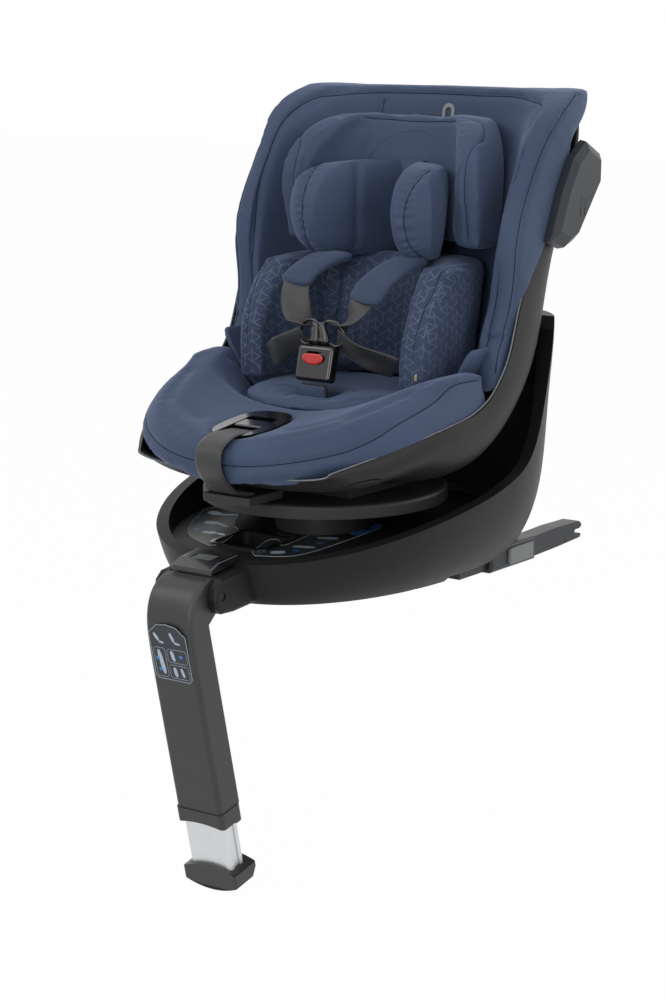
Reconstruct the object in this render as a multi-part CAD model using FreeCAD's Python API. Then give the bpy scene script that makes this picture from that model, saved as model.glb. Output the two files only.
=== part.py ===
import FreeCAD, Part
import math
import os

from FreeCAD import Matrix, Placement, Rotation, Vector

# Convertible car seat with a swivelling, reclining bucket on a base with a support leg and two
# anchor arms. Millimetres. The origin is on the swivel axis, in the plane of the base's underside.
# The child faces -Y, the child's left is +X, and +Z is up.

# Driving dimensions: seat bucket
RECLINE_Z = 330.0          # height of the virtual recline centre, on the swivel axis
SHELL_WALL = 4.0           # moulded wall of the bucket
RUNNER_R = 212.0           # underside of the bucket over the cradle, from the recline centre
CRADLE_HALF = 88.0         # half width of the cradle under the bucket
BACK_LEAN = 14.0           # lean of the backrest from upright, degrees

# Driving dimensions: base
BASE_YC = 60.0             # widest station of the base outline
DECK_Z = 58.0              # deck height on the swivel axis
DECK_RISE = 0.05           # slope of the deck in front of the axis
RIM_Z = 98.0               # rim height on the swivel axis
RIM_RISE = 0.22            # slope of the rim
RIM_WIDTH = 15.0           # width of the rounded rim
WALL_R = 264.0             # inside radius of the rebound wall
WALL_TOP = 306.0           # top of the rebound wall
FLARE_H = 42.0             # height over which the wall leans outwards
FLARE = 38.0               # what the lean would reach at twice that height
DISC_R = 150.0             # turntable radius
DISC_Z = 93.0              # underside of the turntable
DISC_T = 17.0              # turntable thickness
GAP = 0.4                  # running gap between pieces that move on each other

# Driving dimensions: support leg, laid out upright about its hinge and then leaned
LEG_PIVOT = Vector(0, -262, 22)
LEG_LEAN = 13.3            # lean of the leg from upright, foot towards the vehicle seat
LEG_W = 67.0               # width of the leg's sleeve
LEG_FRONT = -53.0          # front face of the sleeve, from the hinge
LEG_REAR = -17.0           # rear face of the sleeve
LEG_DROP = 282.0           # lower end of the sleeve below the hinge
HEAD_R = 19.0              # rounded head about the hinge
COVER_SKIN = 3.6           # thickness of the leg's front cover
TUBE_W = 60.0
TUBE_D = 28.0
TUBE_TOP = -92.0           # top end of the inner tube
TUBE_END = -345.0          # lower end of the inner tube
FOOT_TOP = -336.0          # top of the foot in the middle of its front
FOOT_FRONT = -54.0         # front face of the foot
SOLE_Z = -363.5            # joint of the foot and its rubber sole
FOOT = Vector(78, 42, 32)  # foot: width, depth, height
FOLD_Z = 15.0              # roof of the recess that the folded leg lies in

# Driving dimensions: anchor arms
ANCHOR_X = 140.0           # half the 280 mm anchor spacing
ANCHOR_BAR = 6.0           # anchor bar diameter
ARM_W = 24.0               # width of the arm's rail and tip
BODY_W = 38.0              # width of the connector body
ARM_H = 30.0
ARM_TIP_Y = 362.0
ARM_Z = 5.0

PIN_R = 5.0                # leg hinge pin radius
COLUMN_R = 62.0            # bearing column in the base
SPIGOT_R = 48.0            # spigot under the turntable
POCKET_Z = 38.0            # floor of the deck pocket

PAN_TOP = 203.0            # top of the pan cover in the middle of its front
SADDLE_R = 350.0           # crosswise dip of the pan cover
PAN_REAR = 44.0            # where the pan cover meets the backrest cover
WRAP_Z = 508.0             # above this the backrest cover wraps round the bucket's corners

WEB = 38.0                 # harness webbing width
WEB_T = 1.8                # harness webbing thickness
HEADREST_REAR = 196.0      # rear face of the headrest cover, at the height of the recline centre

RING_X = 12.0              # sideways place of the headrest's pull ring

X = Vector(1, 0, 0)
Y = Vector(0, 1, 0)
Z = Vector(0, 0, 1)
ORIGIN = Vector(0, 0, 0)
ADJUSTER_PLACE = Placement(Vector(0, -150, 198), Rotation(X, 7.5))

os.makedirs("parts", exist_ok=True)


def save(name, shape):
    """Writes one named sub-part."""
    shape.exportStep("parts/%s.step" % name)


def box(x0, x1, y0, y1, z0, z1):
    return Part.makeBox(x1 - x0, y1 - y0, z1 - z0, Vector(x0, y0, z0))


def cylinder(radius, length, start, axis=Z):
    return Part.makeCylinder(radius, length, start, axis)


def polygon(points):
    return Part.Wire(Part.makePolygon([Vector(*p) for p in points] + [Vector(*points[0])]))


def smooth(points, closed=False):
    """A spline edge through points."""
    curve = Part.BSplineCurve()
    curve.interpolate([Vector(*p) for p in points], PeriodicFlag=closed)
    return curve.toShape()


def plate(wire, depth):
    """A wire's face, extruded along a vector."""
    return Part.Face(wire).extrude(depth)


def side_plate(points, half, centre=0.0):
    """A side profile of (y, z) points, extruded evenly about x = centre."""
    wire = polygon([(centre - half, y, z) for y, z in points])
    return plate(wire, Vector(2 * half, 0, 0))


def rounded(shape, radius, test=None):
    """Fillets the edges that pass the test; the plain shape is kept if the kernel refuses."""
    edges = [e for e in shape.Edges if test is None or test(e)]
    if not edges:
        return shape
    return shape.makeFillet(radius, edges)


def along(edge, axis):
    """True for a straight edge parallel to an axis."""
    if edge.Curve.TypeId != "Part::GeomLine":
        return False
    return abs(abs(edge.tangentAt(edge.FirstParameter).dot(axis)) - 1) < 1e-6


def soft_box(x0, x1, y0, y1, z0, z1, radius, axes=(X, Y, Z)):
    """A box with the edges along the named axes rounded."""
    return rounded(box(x0, x1, y0, y1, z0, z1), radius,
                   lambda e: any(along(e, a) for a in axes))


def turned(shape, centre, axis, degrees):
    copy = shape.copy()
    copy.rotate(centre, axis, degrees)
    return copy


# ---------------------------------------------------------------- base

def base_ring(z, half, front, rear, front_power=2.25, rear_power=2.7):
    """One closed plan outline of the base: a superellipse, blunter behind than in front."""
    points = []
    count = 28
    for i in range(count):
        t = 2 * math.pi * (i + 0.5) / count
        c, s = math.cos(t), math.sin(t)
        power = rear_power if s > 0 else front_power
        reach = rear if s > 0 else front
        x = half * math.copysign(abs(c) ** (2 / power), c)
        y = BASE_YC + reach * math.copysign(abs(s) ** (2 / power), s)
        points.append((x, y, z))
    return Part.Wire(smooth(points, closed=True))


def base_form(inset=0.0, low=0.0):
    """The base's outer form, or the same form pulled in by an inset."""
    stations = [
        (low, 158, 262, 196), (14, 172, 272, 204), (60, 199, 281, 217), (120, 213, 288, 224),
        (200, 219, 291, 228), (WALL_TOP + 14, 224, 293, 231),
    ]
    rings = [base_ring(z, w - inset, f - inset, r - inset) for z, w, f, r in stations]
    return Part.makeLoft(rings, True, False)


def rim_height(y):
    return RIM_Z + RIM_RISE * y


def deck_height(y):
    return DECK_Z + DECK_RISE * min(y, 0.0)


# side profile under the rim line, which sweeps up into the rebound wall
RIM_LINE = [(-240, rim_height(-240)), (-142, rim_height(-142)), (-19, rim_height(-19)),
            (87, rim_height(87)), (134, 139), (168, 186), (186, 240), (198, 292)]


def under_rim(drop=0.0, floor=-10.0):
    """Everything below the rim line, as a wide solid."""
    line = smooth([(-260, y, z - drop) for y, z in RIM_LINE])
    front_y, front_z = RIM_LINE[0]
    tail = [Vector(-260, 198, 292 - drop), Vector(-260, 214, WALL_TOP - drop),
            Vector(-260, 320, WALL_TOP - drop), Vector(-260, 320, floor),
            Vector(-260, front_y, floor), Vector(-260, front_y, front_z - drop)]
    edges = [line] + [Part.makeLine(a, b) for a, b in zip(tail, tail[1:])]
    return plate(Part.Wire(Part.__sortEdges__(edges)), Vector(520, 0, 0))


def over_deck(drop=0.0):
    """Everything above the deck, as a wide solid."""
    profile = [(-260, deck_height(-260) - drop), (0, DECK_Z - drop), (320, DECK_Z - drop),
               (320, 400), (-260, 400)]
    return side_plate(profile, 250)


def wall_flare():
    """The wall leans outwards near its top, clear of the turning and reclined bucket."""
    return Part.makeCone(WALL_R - 2, WALL_R + FLARE, 2 * FLARE_H, Vector(0, 0, WALL_TOP - FLARE_H))


def base_shells():
    """The lower basin and the upper cover with its rim, deck and rebound wall."""
    body = base_form().common(under_rim())
    bowl = base_form(RIM_WIDTH, 2.0).common(over_deck())
    bowl = bowl.common(cylinder(WALL_R, 500, Vector(0, 0, -20)).fuse(wall_flare()))
    body = body.cut(bowl)
    # the parting line runs 24 mm under the rim and stays under the deck
    parting = under_rim(24.0)
    lower_zone = parting.cut(box(-260, 260, -260, 330, 40, 400))
    lower = body.common(lower_zone)
    upper = body.cut(lower_zone)
    return lower, upper


NOSE_HALF = 47.0           # half width of the nose that carries the leg
FORK_GAP = 0.5             # side gap between the leg and the fork


def nose():
    """The fork that carries the leg, with its rounded front."""
    profile = [(-190, 4), (-240, 0), (-262, 1), (-272, 8), (-275, 20), (-272, 33), (-262, 42),
               (-190, 50)]
    return rounded(side_plate(profile, NOSE_HALF), 5,
                   lambda e: not along(e, X) and e.CenterOfMass.y < -195)


def leg_channel():
    """The slot that the leg turns in and the shallow recess that it folds into."""
    half = LEG_W / 2 + FORK_GAP
    turn = cylinder(HEAD_R + 4, 2 * half, LEG_PIVOT - X * half, X)
    front = box(-half, half, -330, LEG_PIVOT.y, -60, LEG_PIVOT.z + HEAD_R + 12)
    run = box(-half, half, LEG_PIVOT.y, 40, -60, FOLD_Z)
    heel = box(-half, half, LEG_PIVOT.y, -230, -60, FOLD_Z + 6)
    foot = box(-FOOT.x / 2 - 3, FOOT.x / 2 + 3, -6, 252, -60, FOLD_Z + 5)
    return turn.fuse([front, run, heel, foot])


def arm_tunnel(side):
    """The tunnel that an anchor arm slides in, open to the underside."""
    x = side * ANCHOR_X
    top = ARM_Z + ARM_H / 2 + GAP
    wide = box(x - BODY_W / 2 - 6, x + BODY_W / 2 + 6, 28, 340, -20, top)
    rail = box(x - ARM_W / 2 - GAP, x + ARM_W / 2 + GAP, -30, 30, -20, top)
    return wide.fuse(rail)


def screw(point, axis=Z, head=4.0, length=12.0):
    """A countersunk screw with its head face at the point."""
    return cylinder(head, 2.4, point - axis * 2.4, axis).fuse(
        cylinder(1.9, length, point - axis * (2.4 + length), axis))


def make_base():
    lower, upper = base_shells()
    fork = nose()
    lower = lower.fuse(fork).cut(upper)
    channel = leg_channel()
    lower = lower.cut(channel)
    lid_seat = side_plate([(-264, 43.1), (-205.6, 49.5), (-205.6, 90), (-264, 90)], 29.4)
    lower = lower.cut(lid_seat)
    upper = upper.cut(lid_seat)
    upper = upper.cut(channel)
    pin_hole = cylinder(PIN_R, 2 * NOSE_HALF, LEG_PIVOT - X * NOSE_HALF, X)
    lower = lower.cut(pin_hole)
    for side in (-1, 1):
        lower = lower.cut(arm_tunnel(side))
    # pocket in the deck with its drain floor, and the seat of the bearing column
    pocket = soft_box(-60, 14, -148, -84, POCKET_Z, 140, 9, (Z,))
    upper = upper.cut(pocket)
    lower = lower.cut(pocket)
    column = cylinder(COLUMN_R, 60, Vector(0, 0, 50))
    upper = upper.cut(column)
    lower = lower.cut(column)
    save("base_lower_shell", lower)
    save("base_upper_cover", upper)

    frame = soft_box(-65, 19, -153, -79, 40, 140, 12, (Z,)).cut(pocket)
    band = side_plate([(-160, deck_height(-160) + 0.1), (-70, deck_height(-70) + 0.1),
                       (-70, deck_height(-70) + 2.6), (-160, deck_height(-160) + 2.6)], 80)
    save("deck_pocket_frame", frame.common(band))

    bearing = cylinder(COLUMN_R - 0.05, DISC_Z - GAP - 50, Vector(0, 0, 50))
    bearing = bearing.cut(cylinder(SPIGOT_R + 0.06, 80, Vector(0, 0, 40)))
    save("swivel_bearing_housing", bearing)

    save("leg_hinge_pin", cylinder(PIN_R - 0.05, 2 * NOSE_HALF - 4, LEG_PIVOT - X * (NOSE_HALF - 2), X))

    # glossy lid over the leg joint with its display window
    lid = side_plate([(-262, 43.2), (-206, 49.6), (-206, 55), (-212, 61), (-246, 57.5),
                      (-262, 50)], 29)
    lid = rounded(lid, 2, lambda e: not along(e, X))
    window = soft_box(-15, 15, -246, -228, 30, 80, 2.5, (Z,))
    slot = window.common(side_plate([(-262, 52), (-206, 58), (-206, 70), (-262, 70)], 40))
    lid = lid.cut(slot)
    save("leg_joint_lid", lid)
    save("display_window", slot.common(side_plate([(-262, 40), (-206, 40), (-206, 61.3),
                                                   (-262, 54.6)], 40)))

    runners = [soft_box(s * 50 + min(s, 0) * 62, s * 50 + max(s, 0) * 62, -120, 90, -2.5, 0, 12, (Z,))
               for s in (-1, 1)]
    save("base_grip_pads", Part.makeCompound(runners))


# ---------------------------------------------------------------- support leg

def leaned(shape):
    """Takes a piece of the leg from its upright layout to its place on the base."""
    piece = shape.copy()
    piece.rotate(ORIGIN, X, LEG_LEAN)
    piece.translate(LEG_PIVOT)
    return piece


def leg_profile(skin=0.0):
    """The side outline of the leg: hinge head, curved hood and straight sleeve."""
    hood = smooth([(0, -1, HEAD_R + 1.5 - skin), (0, -14, 21 - skin), (0, -30 + skin / 2, 14 - skin),
                   (0, -44 + skin, -4), (0, LEG_FRONT + 1.5 + skin, -34),
                   (0, LEG_FRONT + skin, -70)])
    points = [(LEG_FRONT + skin, -70), (LEG_FRONT + skin, -LEG_DROP + 20),
              (LEG_REAR, -LEG_DROP + 20), (LEG_REAR, -30), (4, -HEAD_R)]
    line = [Part.makeLine(Vector(0, *a), Vector(0, *b)) for a, b in zip(points, points[1:])]
    head = Part.Arc(Vector(0, 4, -HEAD_R), Vector(0, HEAD_R, 0),
                    Vector(0, -1, HEAD_R + 1.5 - skin)).toShape()
    return Part.Wire(Part.__sortEdges__([hood] + line + [head]))


def leg_block(half, skin=0.0):
    block = plate(leg_profile(skin), Vector(2 * half, 0, 0))
    block.translate(Vector(-half, 0, 0))
    return block


def make_leg():
    half = LEG_W / 2
    form = leg_block(half)
    form = rounded(form, 6, lambda e: along(e, Z) and e.CenterOfMass.y < LEG_REAR - 20)
    core = leg_block(half - 3, COVER_SKIN).cut(box(-50, 50, -10, 60, -60, 60))
    front = form.common(box(-50, 50, -90, -33, -400, 60))
    cover = front.cut(core)
    sleeve = form.cut(cover)
    cavity = box(-TUBE_W / 2 - 0.3, TUBE_W / 2 + 0.3, tube_front() - 0.3, tube_front() + TUBE_D + 0.3,
                 -400, TUBE_TOP + 45)
    sleeve = sleeve.cut(cavity)
    sleeve = sleeve.cut(cylinder(PIN_R + 0.05, LEG_W, Vector(-half, 0, 0), X))
    button_well = box(-11, 11, LEG_REAR - 3.2, LEG_REAR + 5, -80, -46)
    sleeve = sleeve.cut(button_well)
    save("leg_sleeve", leaned(sleeve))
    save("leg_front_cover", leaned(cover))

    button = soft_box(-10.6, 10.6, LEG_REAR - 0.8, LEG_REAR + 2.2, -79.6, -46.4, 1.2, (X,))
    save("leg_height_button", leaned(button))

    # collar with a lower edge that sags in the middle of its front
    collar = soft_box(-half - 1.2, half + 1.2, LEG_FRONT - 1.2, LEG_REAR + 1.2,
                      -LEG_DROP - 2, -LEG_DROP + 19.9, 6, (Z,))
    collar = collar.cut(box(-TUBE_W / 2 - 0.3, TUBE_W / 2 + 0.3, tube_front() - 0.3,
                            tube_front() + TUBE_D + 0.3, -400, 0))
    sweep = cylinder(150, 120, Vector(0, -60, -LEG_DROP - 150 + 4), Y)
    collar = collar.cut(sweep.common(box(-60, 60, -60, LEG_REAR - 12, -400, 0)))
    save("leg_collar", leaned(collar))

    tube = soft_box(-TUBE_W / 2, TUBE_W / 2, tube_front(), tube_front() + TUBE_D,
                    TUBE_END, TUBE_TOP, 5, (Z,))
    bore = soft_box(-TUBE_W / 2 + 3, TUBE_W / 2 - 3, tube_front() + 3, tube_front() + TUBE_D - 3,
                    TUBE_END, TUBE_TOP, 3, (Z,))
    grooves = [box(s * TUBE_W / 2 - 1.5, s * TUBE_W / 2 + 1.5, tube_front() + 9,
                   tube_front() + TUBE_D - 9, TUBE_END, TUBE_TOP) for s in (-1, 1)]
    save("leg_tube", leaned(tube.cut(bore).cut(grooves)))

    save("foot_cap", leaned(foot_cap()))
    sole = foot_form().common(box(-60, 60, -90, 20, -400, SOLE_Z))
    save("foot_sole", leaned(sole))


def tube_front():
    return (LEG_FRONT + LEG_REAR - TUBE_D) / 2


def foot_form():
    """A boat-shaped block: arched above and below, cut away behind."""
    half, end_top, end_low = FOOT.x / 2, FOOT_TOP - 8, FOOT_TOP - FOOT.z + 8
    arch = Part.Arc(Vector(-half, -80, end_top), Vector(0, -80, FOOT_TOP),
                    Vector(half, -80, end_top)).toShape()
    keel = Part.Arc(Vector(half, -80, end_low), Vector(0, -80, FOOT_TOP - FOOT.z),
                    Vector(-half, -80, end_low)).toShape()
    sides = [Part.makeLine(Vector(s * half, -80, end_top), Vector(s * half, -80, end_low))
             for s in (-1, 1)]
    outline = plate(Part.Wire(Part.__sortEdges__([arch, keel] + sides)), Vector(0, 100, 0))
    rear = FOOT_FRONT + FOOT.y
    block = side_plate([(FOOT_FRONT, FOOT_TOP + 4), (FOOT_FRONT, FOOT_TOP - 40),
                        (rear - 17, FOOT_TOP - 40), (rear - 15, FOOT_TOP - FOOT.z),
                        (rear, FOOT_TOP - 12), (rear, FOOT_TOP + 4)], half + 5)
    return rounded(outline.common(block), 2.0, lambda e: along(e, Z))


def foot_cap():
    """The foot above its rubber sole, with the socket for the tube."""
    cap = foot_form().cut(box(-60, 60, -90, 20, -400, SOLE_Z))
    socket = box(-TUBE_W / 2, TUBE_W / 2, tube_front(), tube_front() + TUBE_D, TUBE_END, -300)
    return cap.cut(socket)


# ---------------------------------------------------------------- turntable and cradle

def swept_block(inner, outer, half, start, end):
    """A ring sector about the recline centre, between two angles from straight down."""
    centre = Vector(-half, 0, RECLINE_Z)
    ring = cylinder(outer, 2 * half, centre, X).cut(cylinder(inner, 2 * half, centre, X))
    far = 2 * outer
    points = [(0, RECLINE_Z)]
    for angle in (start, start * 0.5, end * 0.5, end):
        a = math.radians(angle)
        points.append((far * math.sin(a), RECLINE_Z - far * math.cos(a)))
    return ring.common(side_plate(points, half + 1))


def make_turntable():
    disc = cylinder(DISC_R, DISC_T, Vector(0, 0, DISC_Z))
    disc = rounded(disc, 5, lambda e: e.CenterOfMass.z > DISC_Z + DISC_T - 1)
    spigot = cylinder(SPIGOT_R, DISC_Z - 60, Vector(0, 0, 60))
    disc = disc.fuse(spigot)
    seat = RUNNER_R + GAP
    cradle = cylinder(DISC_R - 8, 80, Vector(0, 0, DISC_Z + DISC_T))
    cradle = cradle.common(box(-CRADLE_HALF, CRADLE_HALF, -72, 84, 100, 190))
    cradle = cradle.cut(cylinder(seat, 400, Vector(-200, 0, RECLINE_Z), X))
    rails = [box(s * 74 - 6, s * 74 + 6, -130, 110, DISC_Z + DISC_T, 200) for s in (-1, 1)]
    grooves = Part.makeCompound(rails).common(swept_block(seat - 1, seat + 8, 100, -15, 20))
    cradle = cradle.cut(grooves)
    save("turntable_disc", disc)
    save("recline_cradle", cradle)

    steel = [swept_block(seat + 1.6, seat + 6.0, 5.6, -14.5, 19.5) for _ in (-1, 1)]
    steel[0].translate(Vector(-74, 0, 0))
    steel[1].translate(Vector(74, 0, 0))
    save("recline_rails", Part.makeCompound(steel))

    retainer = cylinder(SPIGOT_R - 0.1, 5, Vector(0, 0, 54.8))
    save("swivel_retainer", retainer)


# ---------------------------------------------------------------- seat bucket

# stations of the bucket about the recline centre: angle from straight down (negative in
# front), radius of the underside, radius of the side edges, half width, bluntness
SHELL = [
    (-47.5, 268, 248, 144, 2.3), (-42, 262, 205, 174, 2.5), (-34, 244, 168, 196, 2.8),
    (-21, RUNNER_R + 1, 138, 208, 3.0), (0, RUNNER_R, 120, 212, 3.2), (20, RUNNER_R, 112, 213, 3.3),
    (38, RUNNER_R, 104, 214, 3.2), (55, 221, 100, 214, 3.0), (75, 232, 98, 214, 2.9),
    (90, 241, 104, 214, 2.9), (104, 262, 124, 214, 2.9), (114, 292, 172, 213, 2.9),
    (121, 325, 234, 211, 2.8), (126.5, 362, 300, 202, 2.6), (129.5, 386, 352, 188, 2.4),
]


def on_fan(x, radius, angle):
    """A point in the fan of planes about the recline centre."""
    a = math.radians(angle)
    return Vector(x, radius * math.sin(a), RECLINE_Z - radius * math.cos(a))


def trough(angle, bottom, tip, half, power, count=15):
    """The points of one U-shaped section, from one side edge to the other."""
    points = []
    for i in range(count):
        t = math.pi * i / (count - 1)
        c, s = math.cos(t), math.sin(t)
        x = half * math.copysign(abs(c) ** (2 / power), c)
        points.append(on_fan(x, tip + (bottom - tip) * abs(s) ** (2 / power), angle))
    return points


def trough_wire(angle, outer, inner):
    """A closed U section from an outer (bottom, tip, half, power) and an inner one."""
    a = trough(angle, *outer)
    b = list(reversed(trough(angle, *inner)))
    edges = [smooth(a), Part.makeLine(a[-1], b[0]), smooth(b), Part.makeLine(b[-1], a[0])]
    return Part.Wire(edges)


def scoop(stations):
    """A solid lofted through U sections; a station is (angle, outer, inner)."""
    return Part.makeLoft([trough_wire(*s) for s in stations], True, False)


def shell_layer(outward, inward, rise=0.0):
    """The bucket wall between two offsets of its underside."""
    stations = []
    for angle, bottom, tip, half, power in SHELL:
        outer = (bottom + outward, tip - rise, half + outward, power)
        inner = (bottom - inward, tip - rise, half - inward, power)
        stations.append((angle, outer, inner))
    return scoop(stations)


# ---------------------------------------------------------------- soft goods

def oval(z, yc, half, front, rear, front_power=2.5, rear_power=3.0, count=20):
    """A closed plan outline, with its own bluntness in front and behind."""
    points = []
    for i in range(count):
        t = 2 * math.pi * (i + 0.5) / count
        c, s = math.cos(t), math.sin(t)
        power = rear_power if s > 0 else front_power
        reach = rear if s > 0 else front
        points.append((half * math.copysign(abs(c) ** (2 / power), c),
                       yc + reach * math.copysign(abs(s) ** (2 / power), s), z))
    return Part.Wire(smooth(points, closed=True))


def stacked(rows):
    return Part.makeLoft([oval(*row) for row in rows], True, False)


def back_line(z):
    """How far the lean carries the backrest rearwards at a height."""
    return (z - RECLINE_Z) * math.tan(math.radians(BACK_LEAN - 1))


def seat_cushion(cutter):
    """Padded cover of the seat pan, with its raised rim and its well."""
    outer = stacked([(132, 40, 138, 226, 150), (150, 40, 176, 252, 160), (176, 40, 200, 262, 165),
                     (204, 40, 210, 248, 168), (232, 40, 207, 205, 168), (262, 40, 200, 130, 168)])
    well = stacked([(186, 40, 118, 96, 150), (215, 40, 140, 112, 190), (240, 40, 158, 136, 200),
                    (280, 40, 172, 158, 205)])
    slope = Vector(0, -1, -0.13).normalize()
    saddle = cylinder(SADDLE_R, 400, Vector(0, 60, PAN_TOP + SADDLE_R + 22), slope)
    pan = outer.cut(well).cut(saddle).cut(box(-260, 260, PAN_REAR, 300, 100, 300))
    recess = stacked([(-18, 0, 31, 43, 49), (2, 0, 37, 47, 55), (9, 0, 40, 50, 58)])
    recess.Placement = ADJUSTER_PLACE
    return pan.cut(recess).cut(cutter)


def back_cushion(cutter):
    """Padded cover of the backrest and its side wings, wrapped round the bucket's top corners."""
    outer, inner = [], []
    for z, half, tip, power in ((230, 202, 47, 3.2), (265, 206, 64, 3.2), (330, 212, 84, 3.2),
                                (400, 213.8, 88, 3.4), (460, 214, 108, 3.8), (505, 214, 134, 4.2),
                                (526, 214.2, 147, 4.5), (546, 216, 164, 4.8), (565, 216, 188, 4.8),
                                (578, 212, 214, 4.6), (586, 205, 240, 4.4)):
        rear = 243 + back_line(z)
        outer.append(wing_wire(z, half, tip, rear, power))
        inner.append(wing_wire(z, half - 30, tip - 60, rear - 40, 2.8))
    body = Part.makeLoft(outer, True, False)
    hollow = Part.makeLoft(inner, True, False)
    cushion = body.cut(hollow)
    low = cushion.common(box(-260, 260, 0, 400, 200, WRAP_Z)).cut(cutter)
    middle = cushion.common(box(-150, 150, 0, 400, WRAP_Z, 700)).cut(cutter)
    corners = [cushion.common(box(x0, x1, 0, 400, WRAP_Z, 700)).cut(shell_layer(0.6, SHELL_WALL + 0.5, 0.6))
               for x0, x1 in ((150, 260), (-260, -150))]
    return low.fuse([middle] + corners)


def wing_wire(z, half, tip, rear, power):
    """A closed D-shaped plan section: straight in front, rounded behind."""
    points = []
    count = 15
    for i in range(count):
        t = math.pi * i / (count - 1)
        c, s = math.cos(t), math.sin(t)
        points.append((half * math.copysign(abs(c) ** (2 / power), c),
                       tip + (rear - tip) * abs(s) ** (2 / power), z))
    front = Part.makeLine(Vector(*points[-1]), Vector(*points[0]))
    return Part.Wire([smooth(points), front])


def headrest_pad():
    """Headrest cover: a panel with two side wings, in the lean of the backrest."""
    outer, inner = [], []
    for z, half, tip in ((392, 146, 112), (440, 148, 104), (500, 142, 110), (530, 128, 134),
                         (548, 106, 176)):
        rear = HEADREST_REAR + back_line(z)
        outer.append(wing_wire(z, half, tip, rear, 3.4))
        inner.append(wing_wire(z, half - 26, tip - 60, rear - 44, 2.6))
    return Part.makeLoft(outer, True, False).cut(Part.makeLoft(inner, True, False))


def head_pillow():
    """Infant head pillow: a middle panel between two lobes that reach forwards."""
    outer, inner = [], []
    for z, half, tip in ((378, 92, 84), (400, 104, 60), (435, 108, 52), (468, 102, 66),
                         (490, 84, 98)):
        rear = HEADREST_REAR - 46 + back_line(z)
        outer.append(wing_wire(z, half, tip, rear, 2.4))
        inner.append(wing_wire(z, 34, tip - 60, rear - 44, 2.2))
    return Part.makeLoft(outer, True, False).cut(Part.makeLoft(inner, True, False))


def body_insert():
    """Infant insert: back panel with two side bolsters."""
    outer, inner = [], []
    for z, half, tip in ((262, 144, 2), (300, 148, 6), (340, 146, 26), (374, 140, 58)):
        rear = 196 + back_line(z)
        outer.append(wing_wire(z, half, tip, rear, 3.4))
        inner.append(wing_wire(z, half - 36, tip - 60, rear - 62, 2.6))
    return Part.makeLoft(outer, True, False).cut(Part.makeLoft(inner, True, False))


def seat_insert():
    """Crescent pad on the seat pan, with its front lip and a slot for the crotch strap."""
    outer = stacked([(187, 40, 108, 86, 84), (205, 40, 126, 100, 112), (222, 40, 124, 96, 120)])
    slot = soft_box(-24, 24, -36, 8, 150, 260, 8, (Z,))
    return outer.cut(slot)


def strip(points, width, thickness, across=X):
    """A flat webbing strip along points; its width runs along one direction."""
    pieces = []
    for a, b in zip(points, points[1:]):
        start, end = Vector(*a), Vector(*b)
        run = end - start
        side = across - run * (across.dot(run) / run.dot(run))
        side = side.normalize() * (width / 2)
        normal = run.cross(side).normalize() * (thickness / 2)
        corners = [start - side - normal, start + side - normal, start + side + normal,
                   start - side + normal]
        wire = Part.makePolygon(corners + [corners[0]])
        pieces.append(Part.Face(Part.Wire(wire)).extrude(run))
        if b is not points[-1]:
            pieces.append(cylinder(thickness / 2, width, end - side, side))
    return pieces[0].fuse(pieces[1:]) if len(pieces) > 1 else pieces[0]


def make_harness():
    lean = Placement(Vector(0, -22, 236), Rotation(X, -14))
    body = soft_box(-26, 26, -9, 9, 0, 44, 5, (X, Y, Z))
    body = body.cut(soft_box(-11.5, 11.5, -12, 3, 20.5, 36, 2.5, (Y,)))
    body = body.cut(box(-20, 20, -2.6, 2.6, 34, 50))
    button = soft_box(-11, 11, -10.6, -4.2, 21, 35.5, 2.5, (Y,))
    tongues = []
    for side in (-1, 1):
        blade = box(min(0.4 * side, 18 * side), max(0.4 * side, 18 * side), -1.4, 1.4, 36.5, 52)
        head = soft_box(min(0.4 * side, 24 * side), max(0.4 * side, 24 * side), -5, 5, 52, 66, 2, (Z,))
        tongues.append(blade.fuse(head))
    for name, piece in (("buckle_body", body), ("buckle_button", button),
                        ("harness_tongue_left", tongues[1]), ("harness_tongue_right", tongues[0])):
        piece.Placement = lean.multiply(piece.Placement)
        save(name, piece)
    for side, name in ((1, "left"), (-1, "right")):
        top = [(side * 52, 58, 366), (side * 41, 20, 334), (side * 21, 1, 307)]
        strap = strip(top, WEB, WEB_T)
        save("shoulder_strap_" + name, strap)
        lap = [(side * 30, -6, 298), (side * 62, -8, 276), (side * 94, 14, 258)]
        save("lap_strap_" + name, strip(lap, WEB - 8, WEB_T, across=Vector(0, -0.5, 1)))
        pad = strip([(side * 64, 84, 364), (side * 54, 50, 346), (side * 47, 22, 326)], 52, 5)
        pad.translate(Vector(side * 3, -8.5, 8.5))
        save("shoulder_pad_" + name, pad.cut(strap))
    save("crotch_strap", strip([(0, -11, 188), (0, -17.5, 212), (0, -23, 234.2)], WEB, WEB_T))
    pad = soft_box(-22, 22, -34.4, -25.4, 200, 233, 4, (X, Y, Z))
    save("crotch_pad", pad)


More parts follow.
